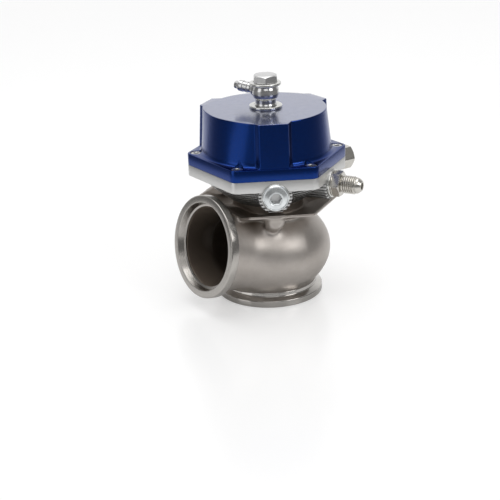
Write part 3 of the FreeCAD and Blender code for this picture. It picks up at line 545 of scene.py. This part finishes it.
def rounded(points, steps=4):
    """An outline through (radius, height, corner radius) points, with each corner as an arc."""
    outline = []
    count = len(points)
    for k, (r, z, corner) in enumerate(points):
        here = np.array((r, z), float)
        before = np.array(points[k - 1][:2], float) - here
        after = np.array(points[(k + 1) % count][:2], float) - here
        length_before, length_after = np.hypot(*before), np.hypot(*after)
        if corner <= 0 or min(length_before, length_after) < 1e-6:
            outline.append(here)
            continue
        before, after = before / length_before, after / length_after
        opening = math.acos(max(-1.0, min(1.0, float(before @ after))))
        if opening > math.pi - 0.02:
            outline.append(here)
            continue
        cut = min(corner / math.tan(opening / 2), 0.48 * length_before, 0.48 * length_after)
        radius = cut * math.tan(opening / 2)
        centre = here + (before + after) / np.hypot(*(before + after)) * (radius / math.sin(opening / 2))
        start, end = here + before * cut - centre, here + after * cut - centre
        turn = math.atan2(start[0] * end[1] - start[1] * end[0], float(start @ end))
        for share in np.linspace(0, 1, steps + 1):
            c, s = math.cos(turn * share), math.sin(turn * share)
            outline.append(centre + np.array((c * start[0] - s * start[1], s * start[0] + c * start[1])))
    return np.array(outline)


def even_rings(columns, *pairs):
    """Round rows for a stack, one for each (radius, height) pair."""
    return [(np.full(columns, float(radius)), height) for radius, height in pairs]


def stack(name, rows, place=None, loop=True, sharp=30, lead=None):
    """A surface of stacked rings. Each row is (radii, height): its points lie at the columns' even angles, at those
    radii and at that height. With loop, the last row joins the first, so the wall is closed like a tyre. With lead,
    (first row, last row, rows a turn), those rows climb like a screw: each ends where a later one starts."""
    radii = np.array([row for row, _ in rows], float)
    count, columns = radii.shape
    turn = np.linspace(0, 2 * math.pi, columns, endpoint=False)
    tall = np.stack([np.broadcast_to(height, columns) for _, height in rows]).astype(float)
    points = np.stack((radii * np.cos(turn), radii * np.sin(turn), tall), -1)
    if place is not None:
        points = points @ place[0].T + place[1]
    number = np.arange(count * columns).reshape(count, columns)
    beside = np.roll(number, -1, 1)
    if lead is not None:
        first, last, pace = lead
        beside[first:last, -1] = number[np.minimum(np.arange(first, last) + pace, last - 1), 0]
    faces = np.stack((number, beside, np.roll(beside, -1, 0), np.roll(number, -1, 0)), -1)
    if not loop:
        faces = faces[:-1]
    return add_mesh(name, points.reshape(-1, 3), faces.reshape(-1, 4), sharp)


def turned(name, points, place=None, columns=192, loop=True, steps=4, sharp=30):
    """A lathe piece: the rounded outline carried round the axis."""
    return stack(name, even_rings(columns, *rounded(points, steps)), place, loop, sharp)


def frame_along(axis, origin, up=(0.0, 0.0, 1.0)):
    """A place whose third axis runs along the given axis: (matrix, origin)."""
    third = np.array(axis, float) / np.linalg.norm(axis)
    first = np.array(up, float) - third * (np.array(up, float) @ third)
    first = first / np.linalg.norm(first)
    second = np.cross(third, first)
    return np.stack((first, second, third), -1), np.array(origin, float)


def turned_metal(name, axis, origin, colour, rough=0.22, ring_pitch=0.16, depth=0.000004):
    """Turned steel: fine rings at an even pitch outwards and along the axis, with faint handling marks."""
    metal = Finish(name)
    spot = metal.place()
    px, py, pz = metal.parts(spot)
    ax, ay, az = (float(v) for v in np.array(axis, float) / np.linalg.norm(axis))
    ox, oy, oz = (float(v) * mm for v in origin)
    along = ax * (px - ox) + ay * (py - oy) + az * (pz - oz)
    square = (px - ox) * (px - ox) + (py - oy) * (py - oy) + (pz - oz) * (pz - oz)
    out = (square - along * along).greatest(0.0).root()
    rings = ((out + along) * (6.2832 / (ring_pitch * mm))).sine()
    streak = metal.noise(spot, 160.0, 4.0, 0.65)
    marks = metal.noise(metal.stretched(spot, 1.0, 1.0, 6.0), 60.0, 5.0, 0.7)
    metal.set(Base_Color=metal.mix(streak.above(0.55, 0.5), colour, tuple(0.9 * c for c in colour)),
              Metallic=1.0, Roughness=rough + 0.08 * marks.above(0.6, 0.4) + 0.02 * rings)
    metal.bump(rings + 0.15 * streak, depth, 0.4)
    return metal


outlet_place = frame_along(outlet_axis, (0, 0, outlet_height), outlet_up)
flange_finish = turned_metal("turned_flange", (0, 0, 1), (0, 0, 0), (0.50, 0.48, 0.455), 0.06)
inlet_flange = turned("inlet_flange", [(33.8, 0, 0.5), (33.8, 4.0, 0.7), (30.2, 5.9, 1.0), (29.9, 8.3, 0.35),
                                       (26.6, 8.5, 0), (26.6, 2.5, 0), (29.55, 2.5, 0.2), (29.55, 0, 0.3)])
fit_out(inlet_flange, "housing", flange_finish, "cast_steel", "valve_body")
outlet_finish = turned_metal("turned_outlet_flange", outlet_axis, (0, 0, outlet_height), (0.44, 0.42, 0.395), 0.18)
outlet_flange = turned("outlet_flange", [(29.1, 44.8, 0.6), (31.95, 46.5, 0.5), (31.95, 51.7, 0.9),
                                         (27.5, 51.7, 0.35), (26.2, 47.7, 0.2), (24.95, 47.4, 0.12),
                                         (25.3, 45.8, 0), (28.0, 44.6, 0)], outlet_place)
fit_out(outlet_flange, "housing", outlet_finish, "cast_steel", "valve_body")

# Valve, seat ring and guide
# The seat ring is dropped into the inlet under a lip. The poppet valve closes on its 45 degree
# cone from above, and its stem runs up through the bronze guide.
seat_finish = turned_metal("turned_seat", (0, 0, 1), (0, 0, 0), (0.52, 0.50, 0.48), 0.25)
seat_ring = turned("seat_ring", [(23.0, 0.2, 0.4), (29.5, 0.2, 0.3), (29.5, 2.5, 0.3), (26.5, 2.5, 0),
                                 (26.5, seat_top, 0.3), (25.3, seat_top, 0.1), (23.0, 11.4, 0.3)])
fit_out(seat_ring, "housing", seat_finish, "machined_steel", "valve_seat_ring")
valve_finish = turned_metal("turned_valve", (0, 0, 1), (0, 0, 0), (0.42, 0.40, 0.38), 0.3)
valve_piece = turned("valve", [(0, 13.0, 0), (16.0, 13.0, 0.8), (17.5, 11.5, 0.4), (22.89, 11.5, 0.2),
                               (25.0, 13.61, 0.3), (25.0, 14.6, 0.3), (20.0, 15.0, 2.0), (8.6, 18.0, 8.0),
                               (4.0, 24.6, 2.0), (4.0, 72.6, 0.2), (3.0, 72.6, 0), (3.0, 84.3, 0.5), (0, 84.3, 0)],
                     loop=False, steps=6)
fit_out(valve_piece, "valve", valve_finish, "machined_steel", "poppet_valve")

# Lower housing
# Turned and milled from aluminium bar: a hexagonal plate over a bowl with level cooling fins,
# and three port bosses that the fin grooves run past, so that their sides look toothed.
plate_bottom = 79.2
plate_top = 86.3
plate_apothem = 43.5
plate_corner = 5.5
bowl_foot = 24.0
bowl_head = 41.5
bowl_low = 63.7
fin_pitch = 2.1
fin_thick = 1.2
fin_depth = 2.6
port_height = 76.0
port_boss = 10.2
port_core = 8.6
port_face = 43.1
port_bearings = {"plug": 240, "flare": 300, "rear": 0}
around = np.linspace(0, 2 * math.pi, 1440, endpoint=False)


def bearing_from(bearing):
    """Angle of each column from a bearing, between minus and plus half a turn."""
    return (around - math.radians(bearing) + math.pi) % (2 * math.pi) - math.pi


def hexagon_radius(apothem, corner, columns=None):
    """Radius of a hexagon with rounded corners at each angle: the flats, or the corner circle where it is nearer."""
    turn = around if columns is None else np.linspace(0, 2 * math.pi, columns, endpoint=False)
    off_flat = (turn + math.pi / 6) % (math.pi / 3) - math.pi / 6
    off_corner = math.pi / 6 - np.abs(off_flat)
    flat = apothem / np.cos(off_flat)
    centre = (apothem - corner) / math.cos(math.pi / 6)
    reach = corner ** 2 - (centre * np.sin(off_corner)) ** 2
    arc = centre * np.cos(off_corner) + np.sqrt(np.maximum(reach, 0))
    in_corner = apothem * np.tan(np.abs(off_flat)) > (apothem - corner) * math.tan(math.pi / 6)
    return np.where(in_corner, arc, flat)


def with_bosses(radius, half_width):
    """The bowl's round radius at one level, stretched out to each port boss where the boss is wide enough."""
    result = np.full(around.shape, float(radius))
    if half_width < 3.2:
        return result
    for bearing in port_bearings.values():
        off = bearing_from(bearing)
        ahead = np.abs(off) < 1.2
        front = port_face / np.maximum(np.cos(off), 0.3)
        side = half_width / np.maximum(np.abs(np.sin(off)), 1e-4)
        result = np.where(ahead, np.maximum(result, np.minimum(front, side)), result)
    return result


def chord(radius, height):
    """Half width of a boss of that radius at a height."""
    return math.sqrt(max(radius ** 2 - (height - port_height) ** 2, 0.0))


def bowl_radius(height):
    share = (height - bowl_low) / (plate_bottom - bowl_low)
    return bowl_foot + (bowl_head - bowl_foot) * share + 1.2 * 4 * share * (1 - share)


housing_rows = even_rings(around.size, (6.6, bowl_low), (bowl_radius(bowl_low) - 0.2, bowl_low))
level_now = bowl_low
while level_now < plate_bottom - 0.05:
    top_of_fin = min(level_now + fin_thick, plate_bottom)
    for height, inset in ((level_now, 0.15), (level_now + 0.2, 0.0), (top_of_fin - 0.2, 0.0), (top_of_fin, 0.15)):
        housing_rows.append((with_bosses(bowl_radius(height) - inset, chord(port_boss - inset, height)), height))
    top_of_groove = min(top_of_fin + fin_pitch - fin_thick, plate_bottom)
    for height in (top_of_fin + 0.01, top_of_groove - 0.01):
        housing_rows.append((with_bosses(bowl_radius(height) - fin_depth, chord(port_core, height)), height))
    level_now += fin_pitch
plate = hexagon_radius(plate_apothem, plate_corner)
for height, inset in ((plate_bottom, 0.6), (plate_bottom + 0.18, 0.18), (plate_bottom + 0.6, 0.0),
                      (plate_top - 0.35, 0.0), (plate_top - 0.1, 0.1), (plate_top - 0.01, 0.35)):
    housing_rows.append((plate - inset, height))
housing_rows += even_rings(around.size, (40.05, plate_top), (40.05, 85.1), (35.4, 85.1), (35.4, 82.0), (29.2, 74.0),
                           (20.5, 68.0), (8.5, 68.0), (8.5, 71.0), (6.6, 71.0))

satin = Finish("satin_aluminium")
spot = satin.place()
px, py, pz = satin.parts(spot)
grain = satin.noise(satin.stretched(spot, 1.0, 1.0, 14.0), 420.0, 3.0, 0.6)
cloud = satin.noise(spot, 45.0, 3.0, 0.5)
turning = (pz * (6.2832 / 0.00022)).sine()
satin.set(Base_Color=satin.mix(cloud.above(0.5, 0.6), (0.60, 0.60, 0.595), (0.68, 0.68, 0.675)), Metallic=0.9,
          Roughness=0.34 + 0.10 * grain)
satin.bump(grain + 0.5 * turning, 0.00002, 0.4)
lower_housing = stack("lower_housing_shell", housing_rows)
fit_out(lower_housing, "housing", satin, "bare_aluminium", "lower_housing")

# Cap
# Blue anodised aluminium over the springs. The dome tapers a little, three flat pads run up it,
# and six screws sit in recesses at the corners of its hexagonal flange.
cap_flange_top = 93.6
cap_top = 120.3
dome_foot = 40.5
dome_head = 37.3
pad_half = 8.0
pad_side = 3.4
pad_flares = {0: (0.0, 16.0), 120: (0.0, 18.0), 240: (18.0, 0.0)}
across_pad = np.linspace(0, 34, 400)


def dome_row(height, inset=0.0):
    """The dome's radius at a height, and how far each column is off the pads. Over the distance across a pad the
    outline is the flat face, then a soft step down its side, then a cosine flare that dies out on the round wall."""
    share = (height - cap_flange_top) / (cap_top - cap_flange_top)
    wall = dome_foot + (dome_head - dome_foot) * share - inset
    face = 42.8 + (41.2 - 42.8) * share - inset
    result = np.full(around.shape, wall)
    off_pads = np.ones(around.shape)
    round_wall = np.sqrt(wall ** 2 - across_pad ** 2)
    step = np.clip((across_pad - pad_half + inset) / pad_side, 0, 1)
    step = step * step * (3 - 2 * step)
    for bearing, flares in pad_flares.items():
        off = bearing_from(bearing)
        for side, run in ((off < 0, flares[0]), (off >= 0, flares[1])):
            tail = np.zeros(across_pad.shape)
            if run:
                tail = 0.5 + 0.5 * np.cos(math.pi * np.clip((across_pad - pad_half - 2) / run, 0, 1))
            stand = (0.1 + 0.4 * share) * (face - math.sqrt(wall ** 2 - pad_half ** 2)) * tail
            reach = np.where(step > 0, round_wall + (face - round_wall) * (1 - step) + stand * step, face)
            angle, radius = np.arctan2(across_pad, reach), np.hypot(across_pad, reach)
            near = side & (np.abs(off) < angle[-1])
            result = np.where(near, np.interp(np.abs(off), angle, radius), result)
            off_pads = np.where(near, np.interp(np.abs(off), angle, step), off_pads)
    return result, off_pads


cap_flange = hexagon_radius(plate_apothem, plate_corner)
cap_rows = []
for height, inset in ((plate_top, 0.35), (plate_top + 0.1, 0.1), (plate_top + 0.35, 0.0), (cap_flange_top - 0.6, 0.0),
                      (cap_flange_top - 0.18, 0.18), (cap_flange_top, 0.6)):
    cap_rows.append((cap_flange - inset, height))
for share in np.linspace(0, 1, 8):
    swing = share * math.pi / 2
    out = 2.2 * (1 - math.sin(swing))
    up = 2.2 * (1 - math.cos(swing))
    foot_row, off_pads = dome_row(cap_flange_top + up)
    cap_rows.append((np.minimum(foot_row + out * off_pads, cap_flange - 0.6), cap_flange_top + up + 0.002))
for height in np.linspace(cap_flange_top + 3.0, cap_top - 0.8, 14):
    cap_rows.append((dome_row(height)[0], height))
for height, inset in ((cap_top - 0.5, 0.0), (cap_top - 0.2, 0.08), (cap_top - 0.05, 0.22), (cap_top, 0.5)):
    cap_rows.append((dome_row(height, inset)[0], height))
cap_rows += even_rings(around.size, *((radius, cap_top) for radius in (36.0, 30.0, 24.0, 18.0, 12.0, 5.1)))
cap_rows += even_rings(around.size, (5.1, 110.0), (9.0, 110.0), (9.0, 116.5), (33.7, 116.5), (35.9, cap_flange_top),
                       (35.9, plate_top))
cap_piece = stack("cap_shell", cap_rows)

screw_circle = 44.0
recess_radius = 3.8
screw_seat = 89.3
over_cap = 125.0
screw_places = []
for k in range(6):
    bearing = math.radians(60 * k + 30)
    centre = np.array((screw_circle * math.cos(bearing), screw_circle * math.sin(bearing), 0))
    screw_places.append((np.eye(3), centre))
recess = [(0, screw_seat, 0), (recess_radius, screw_seat, 0), (recess_radius, over_cap, 0), (0, over_cap, 0)]
cutters = [turned("cutter", recess, place, columns=64, loop=False) for place in screw_places]
for cutter in cutters:
    cut = cap_piece.modifiers.new("recess", "BOOLEAN")
    cut.operation = "DIFFERENCE"
    cut.solver = "EXACT"
    cut.object = cutter
bpy.context.view_layer.update()
whole = bpy.data.meshes.new_from_object(cap_piece.evaluated_get(bpy.context.evaluated_depsgraph_get()))
cap_piece.modifiers.clear()
cap_piece.data = whole
whole.shade_smooth()
whole.set_sharp_from_angle(angle=math.radians(30))
for cutter in cutters:
    bpy.data.objects.remove(cutter)

anodised = Finish("blue_anodised")
spot = anodised.place()
px, py, pz = anodised.parts(spot)
out = (px * px + py * py).root()
on_top = pz.above(cap_top * mm - 0.00012, 0.0001)
facing_rings = (out * (6.2832 / 0.00030)).sine() * on_top
turning = (pz * (6.2832 / 0.00034)).sine() * (1 - on_top)
fine = anodised.noise(anodised.stretched(spot, 1.0, 1.0, 22.0), 240.0, 4.0, 0.65)
haze = anodised.noise(spot, 30.0, 3.0, 0.5)
anodised.set(Base_Color=anodised.mix(haze.above(0.5, 0.6), (0.0030, 0.026, 0.16), (0.0042, 0.034, 0.20)),
             Metallic=1.0, Roughness=0.17 + 0.12 * fine + 0.08 * on_top)
anodised.bump(0.5 * facing_rings + 0.6 * turning + fine, 0.000012, 0.5)
anodised.set(Coat_Weight=0.05 + 0.95 * on_top, Coat_Roughness=0.16, Coat_IOR=2.3)
fit_out(cap_piece, "housing", anodised, "blue_anodised", "cap")

# Cap screws
# Six plated socket screws, sunk in the recesses of the cap's flange.


def plated(name, colour, rough=0.2, coat=0.0):
    """Bright plating over steel: nearly even, with a soft mottle and a few handling marks."""
    metal = Finish(name)
    spot = metal.place()
    mottle = metal.noise(spot, 220.0, 3.0, 0.55)
    marks = metal.noise(metal.stretched(spot, 1.0, 1.0, 4.0), 900.0, 3.0, 0.7)
    metal.set(Base_Color=metal.mix(mottle.above(0.55, 0.5), colour, tuple(0.85 * c for c in colour)), Metallic=1.0,
              Roughness=rough + 0.14 * marks)
    metal.bump(marks + 0.5 * mottle, 0.00001, 0.4)
    return metal


def hex_outline(flats, columns):
    turn = np.linspace(0, 2 * math.pi, columns, endpoint=False)
    return flats / 2 / np.cos((turn + math.pi / 6) % (math.pi / 3) - math.pi / 6)


def socket_rows(flats, depth, top, columns):
    """Rows that go down into a hexagon socket and close at its drill point."""
    wall = hex_outline(flats, columns)
    rows = [(np.minimum(wall + 0.25, flats / 2 * 1.2), top), (wall, top - 0.25), (wall, top - depth)]
    return rows + even_rings(columns, (0, top - depth - 0.5))


screw_finish = plated("screw_plating", (0.60, 0.60, 0.60), 0.25)
screw_columns = 96
screw_rows = even_rings(screw_columns, (0, 80.1), (1.9, 80.1), (1.95, screw_seat), (3.45, screw_seat),
                        (3.5, screw_seat + 0.1), (3.5, 92.9), (3.42, 93.15), (3.2, 93.3))
screw_rows += socket_rows(3.0, 2.0, 93.3, screw_columns)
for number, place in enumerate(screw_places, 1):
    fit_out(stack("cap_screw_%d" % number, screw_rows, place, loop=False), "housing", screw_finish, "fastener_steel",
            "cap_screws")

# Banjo union
# A bright plated bolt holds the banjo ring between two washers on the cap. The ring's hose barb
# points back to the left and feeds boost to the top of the diaphragm.
chrome = plated("bright_plating", (0.62, 0.62, 0.62), 0.10)
washer_metal = plated("washer_metal", (0.70, 0.70, 0.68), 0.16)
for name, radius, low, high in (("lower_washer", 10.2, 120.3, 121.9), ("upper_washer", 9.7, 134.5, 136.0)):
    node = "lower_sealing_washer" if low < 130 else "upper_sealing_washer"
    groove = high - 0.25
    washer = turned(name, [(5.2, low, 0.2), (radius, low, 0.35), (radius, high, 0.35), (7.6, high, 0.1),
                           (7.4, groove, 0.1), (6.2, groove, 0.1), (6.0, high, 0.1), (5.2, high, 0.2)])
    fit_out(washer, "housing", washer_metal, "washer_steel", node)
banjo_middle = 130.2
banjo_ring = turned("banjo_ring", [(5.1, 121.9, 0.2), (7.1, 121.9, 0.3), (6.4, 123.2, 0.8), (6.4, 125.6, 0.8),
                                   (7.4, 126.6, 1.5), (8.15, 128.6, 3.0), (8.15, 131.8, 3.0), (7.3, 133.9, 1.5),
                                   (6.6, 134.5, 0.2), (5.1, 134.5, 0.2)], steps=6)
fit_out(banjo_ring, "housing", chrome, "plated_steel", "banjo_fitting")
barb_turn, barb_rise = math.radians(112), math.radians(5)
barb_level = math.cos(barb_rise)
barb_axis = (math.cos(barb_turn) * barb_level, math.sin(barb_turn) * barb_level, math.sin(barb_rise))
barb = turned("hose_barb", [(1.6, 6.0, 0), (5.0, 6.0, 0), (4.4, 7.8, 1.0), (3.1, 9.8, 1.6), (3.05, 12.0, 0.3),
                            (3.45, 12.3, 0.2), (3.1, 15.4, 0.3), (3.5, 15.8, 0.2), (3.35, 18.6, 0.6),
                            (2.5, 19.6, 0.5), (2.35, 21.8, 0.5), (1.6, 21.8, 0.3)],
              frame_along(barb_axis, (0, 0, banjo_middle)), columns=96)
fit_out(barb, "housing", chrome, "plated_steel", "banjo_fitting")
bolt_columns = 192
bolt_turn = math.radians(205)
bolt_hex = hex_outline(14.0, bolt_columns)
bolt_rows = even_rings(bolt_columns, (2.0, 110.0), (4.8, 110.0), (5.0, 110.4), (5.0, 136.0), (6.8, 136.02))
bolt_rows += [(bolt_hex - 0.15, 136.1), (bolt_hex, 136.35)]
for height in np.linspace(139.8, 140.66, 9):
    cone = 8.1 - (height - 139.8) / math.tan(math.radians(30))
    bolt_rows.append((np.minimum(bolt_hex, cone), height))
bolt_rows += even_rings(bolt_columns, (6.3, 140.7), (0, 140.7))
bolt_first = (math.cos(bolt_turn), math.sin(bolt_turn), 0)
banjo_bolt = stack("banjo_bolt_shaped", bolt_rows, frame_along((0, 0, 1), (0, 0, 0), bolt_first), loop=False, sharp=25)
fit_out(banjo_bolt, "housing", chrome, "plated_steel", "banjo_bolt")

# Port plug
# A zinc-plated socket plug on a washer closes the front port.


def port_place(bearing):
    turn = math.radians(bearing)
    return frame_along((math.cos(turn), math.sin(turn), 0), (0, 0, port_height))


zinc = plated("zinc_plating", (0.76, 0.79, 0.80), 0.22)
plug_columns = 192
plug_profile = rounded([(4.9, 37.0, 0), (4.9, 44.1, 0), (8.2, 44.1, 0.3), (8.2, 45.0, 0.3), (7.1, 46.6, 0.4)])
plug_rows = even_rings(plug_columns, (0, 37.0), *plug_profile, (4.3, 46.6), (4.1, 46.45))
plug_rows += socket_rows(6.0, 4.4, 46.45, plug_columns)
plug = stack("port_plug", plug_rows, port_place(240), loop=False)
fit_out(plug, "housing", zinc, "zinc_plated", "front_port_plug")
plug_washer = turned("plug_washer", [(5.0, 43.1, 0), (8.5, 43.1, 0.2), (8.5, 44.1, 0.3), (5.0, 44.1, 0)],
                     port_place(240))
fit_out(plug_washer, "housing", washer_metal, "washer_steel", "front_plug_washer")

# Flare fittings
# Nickel-plated steel adapters: washer, hexagon on a round collar, thread and the nose that seals
# in the hose's flare. The rear one is blanked with a hexagon cap.
nickel = plated("nickel_plating", (0.60, 0.58, 0.54), 0.16)


def fitting_hexagon(name, flats, low, high, bearing, collar, bore, chamfer=0.8):
    """A hexagon nut shape with turned-down corners at its outer end, on a round collar if one is given."""
    columns = 192
    outline = hex_outline(flats, columns)
    widest = flats / 2 / math.cos(math.pi / 6)
    rows = even_rings(columns, (bore, low))
    if collar:
        rows += even_rings(columns, (collar - 0.2, low), (collar, low + 0.2), (collar, low + 0.7),
                           (collar - 0.15, low + 0.85))
    rows += [(outline - 0.1, low + 0.9), (outline, low + 1.0)]
    for share in np.linspace(0, 1, 7):
        cone = widest - (widest - flats / 2 + 0.25) * share
        rows.append((np.minimum(outline, cone), high - chamfer * (1 - share)))
    rows += even_rings(columns, (bore, high))
    return stack(name, rows, port_place(bearing), sharp=25)


def flare_thread(name, bearing):
    """The adapter's thread and nose. The thread's radius is its core plus a wave with flat crests, the same along
    each row, and the rows climb one pitch a turn."""
    columns = 96
    turn = np.linspace(0, 1, columns, endpoint=False)
    pitch, crest, core, low, high, pace = 1.35, 5.55, 4.75, 50.4, 59.4, 8
    before = even_rings(columns, (2.15, 49.6), (4.6, 49.6))
    climb = np.arange(-pace, math.ceil((high - low) / pitch) * pace + 1)
    climbing = low + (climb[:, None] / pace + turn[None, :]) * pitch
    wave = np.clip(1.5 - 3 * np.abs((climb / pace) % 1 - 0.5), 0, 1)[:, None]
    ends = np.clip((high - climbing) / 0.8, 0, 1) * np.clip((climbing - low) / 0.8, 0, 1)
    thread = list(zip(core + (crest - core) * wave * ends, np.clip(climbing, low, high)))
    nose = rounded([(4.75, 59.5, 0), (5.0, 59.9, 0.3), (4.6, 61.0, 2.0), (3.1, 62.9, 0.4), (2.15, 62.9, 0.2),
                    (2.15, 55, 0)])
    return stack(name, before + thread + even_rings(columns, *nose), port_place(bearing), sharp=28,
                 lead=(len(before), len(before) + len(thread), pace))


for label, bearing in (("flare", 300), ("rear", 0)):
    washer = turned(label + "_washer", [(5.0, 43.1, 0), (8.8, 43.1, 0.3), (8.8, 44.6, 0.4), (5.0, 44.6, 0)],
                    port_place(bearing))
    node = "flare_adapter" if label == "flare" else "rear_adapter"
    fit_out(washer, "housing", washer_metal, "washer_steel", node + "_washer")
    nut = fitting_hexagon(label + "_hexagon", 14.3, 44.6, 50.2, bearing, 7.95, 4.6)
    fit_out(nut, "housing", nickel, "fitting_steel", node)
    thread = flare_thread(label + "_thread", bearing)
    fit_out(thread, "housing", nickel, "fitting_steel", node)
blank = fitting_hexagon("rear_cap_hexagon", 14.2, 51.05, 65.5, 0, 0, 5.6)
fit_out(blank, "housing", nickel, "fitting_steel", "rear_flare_cap")
blank_end = turned("rear_cap_end", [(0, 63.9, 0), (5.7, 63.9, 0), (6.9, 65.45, 0.2), (0, 65.6, 0)], port_place(0),
                   loop=False)
fit_out(blank_end, "housing", nickel, "fitting_steel", "rear_flare_cap")

# Pieces inside
# Guide, bush, seal, gasket, bolts, plates and nut are held inside. They keep the shapes they
# were made to, and get their own finishes.
bronze = turned_metal("turned_bronze", (0, 0, 1), (0, 0, 0), (0.50, 0.33, 0.16), 0.28)
turned_plate = turned_metal("turned_plate", (0, 0, 1), (0, 0, 0), (0.62, 0.62, 0.62), 0.3)
spring_wire = plated("spring_wire", (0.22, 0.22, 0.23), 0.32)


def matt(name, colour, scale):
    """Rubber or gasket sheet: dull, with a fine even grain."""
    dull = Finish(name)
    spot = dull.place()
    grain = dull.noise(spot, scale, 3.0, 0.6)
    dull.set(Base_Color=dull.mix(grain, colour, tuple(0.7 * c for c in colour)), Roughness=0.62 + 0.2 * grain)
    dull.bump(grain, 0.00004, 0.5)
    return dull


rubber = matt("black_rubber", (0.035, 0.035, 0.036), 1500.0)
gasket_sheet = matt("gasket_sheet", (0.20, 0.19, 0.18), 900.0)
inside_finishes = {"valve_guide": bronze, "stem_bush": bronze, "stem_seal": rubber,
                   "heat_gasket": gasket_sheet, "housing_bolts": screw_finish, "lower_plate": turned_plate,
                   "spring_seat": turned_plate, "stem_washer": screw_finish, "stem_nut": screw_finish}
for node, finish in inside_finishes.items():
    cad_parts[node].data.materials.clear()
    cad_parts[node].data.materials.append(finish.material)

# Springs and diaphragm
# Two steel springs stand between the upper plate and the cap, and the rubber diaphragm is clamped
# at its rim. All three are copied from their CAD shapes as smooth pieces with their own finishes.
yielding = (("outer_spring", spring_wire, "spring_steel", 77.4, 116.3),
            ("inner_spring", spring_wire, "spring_steel", 77.4, 116.3),
            ("diaphragm", rubber, "diaphragm_rubber", 75.6, 85.1))
for node, finish, slot, low, high in yielding:
    made_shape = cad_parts[node]
    points = np.empty(3 * len(made_shape.data.vertices))
    made_shape.data.vertices.foreach_get("co", points)
    corners = np.empty(3 * len(made_shape.data.polygons), np.int32)
    made_shape.data.polygons.foreach_get("vertices", corners)
    stands = np.array(made_shape.matrix_world)
    moved = points.reshape(-1, 3) @ stands[:3, :3].T + stands[:3, 3]
    piece = add_mesh(node + "_yielding", moved / mm, corners.reshape(-1, 3), 35)
    piece.data.materials.append(finish.material)
    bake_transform(piece)
    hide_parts(node)
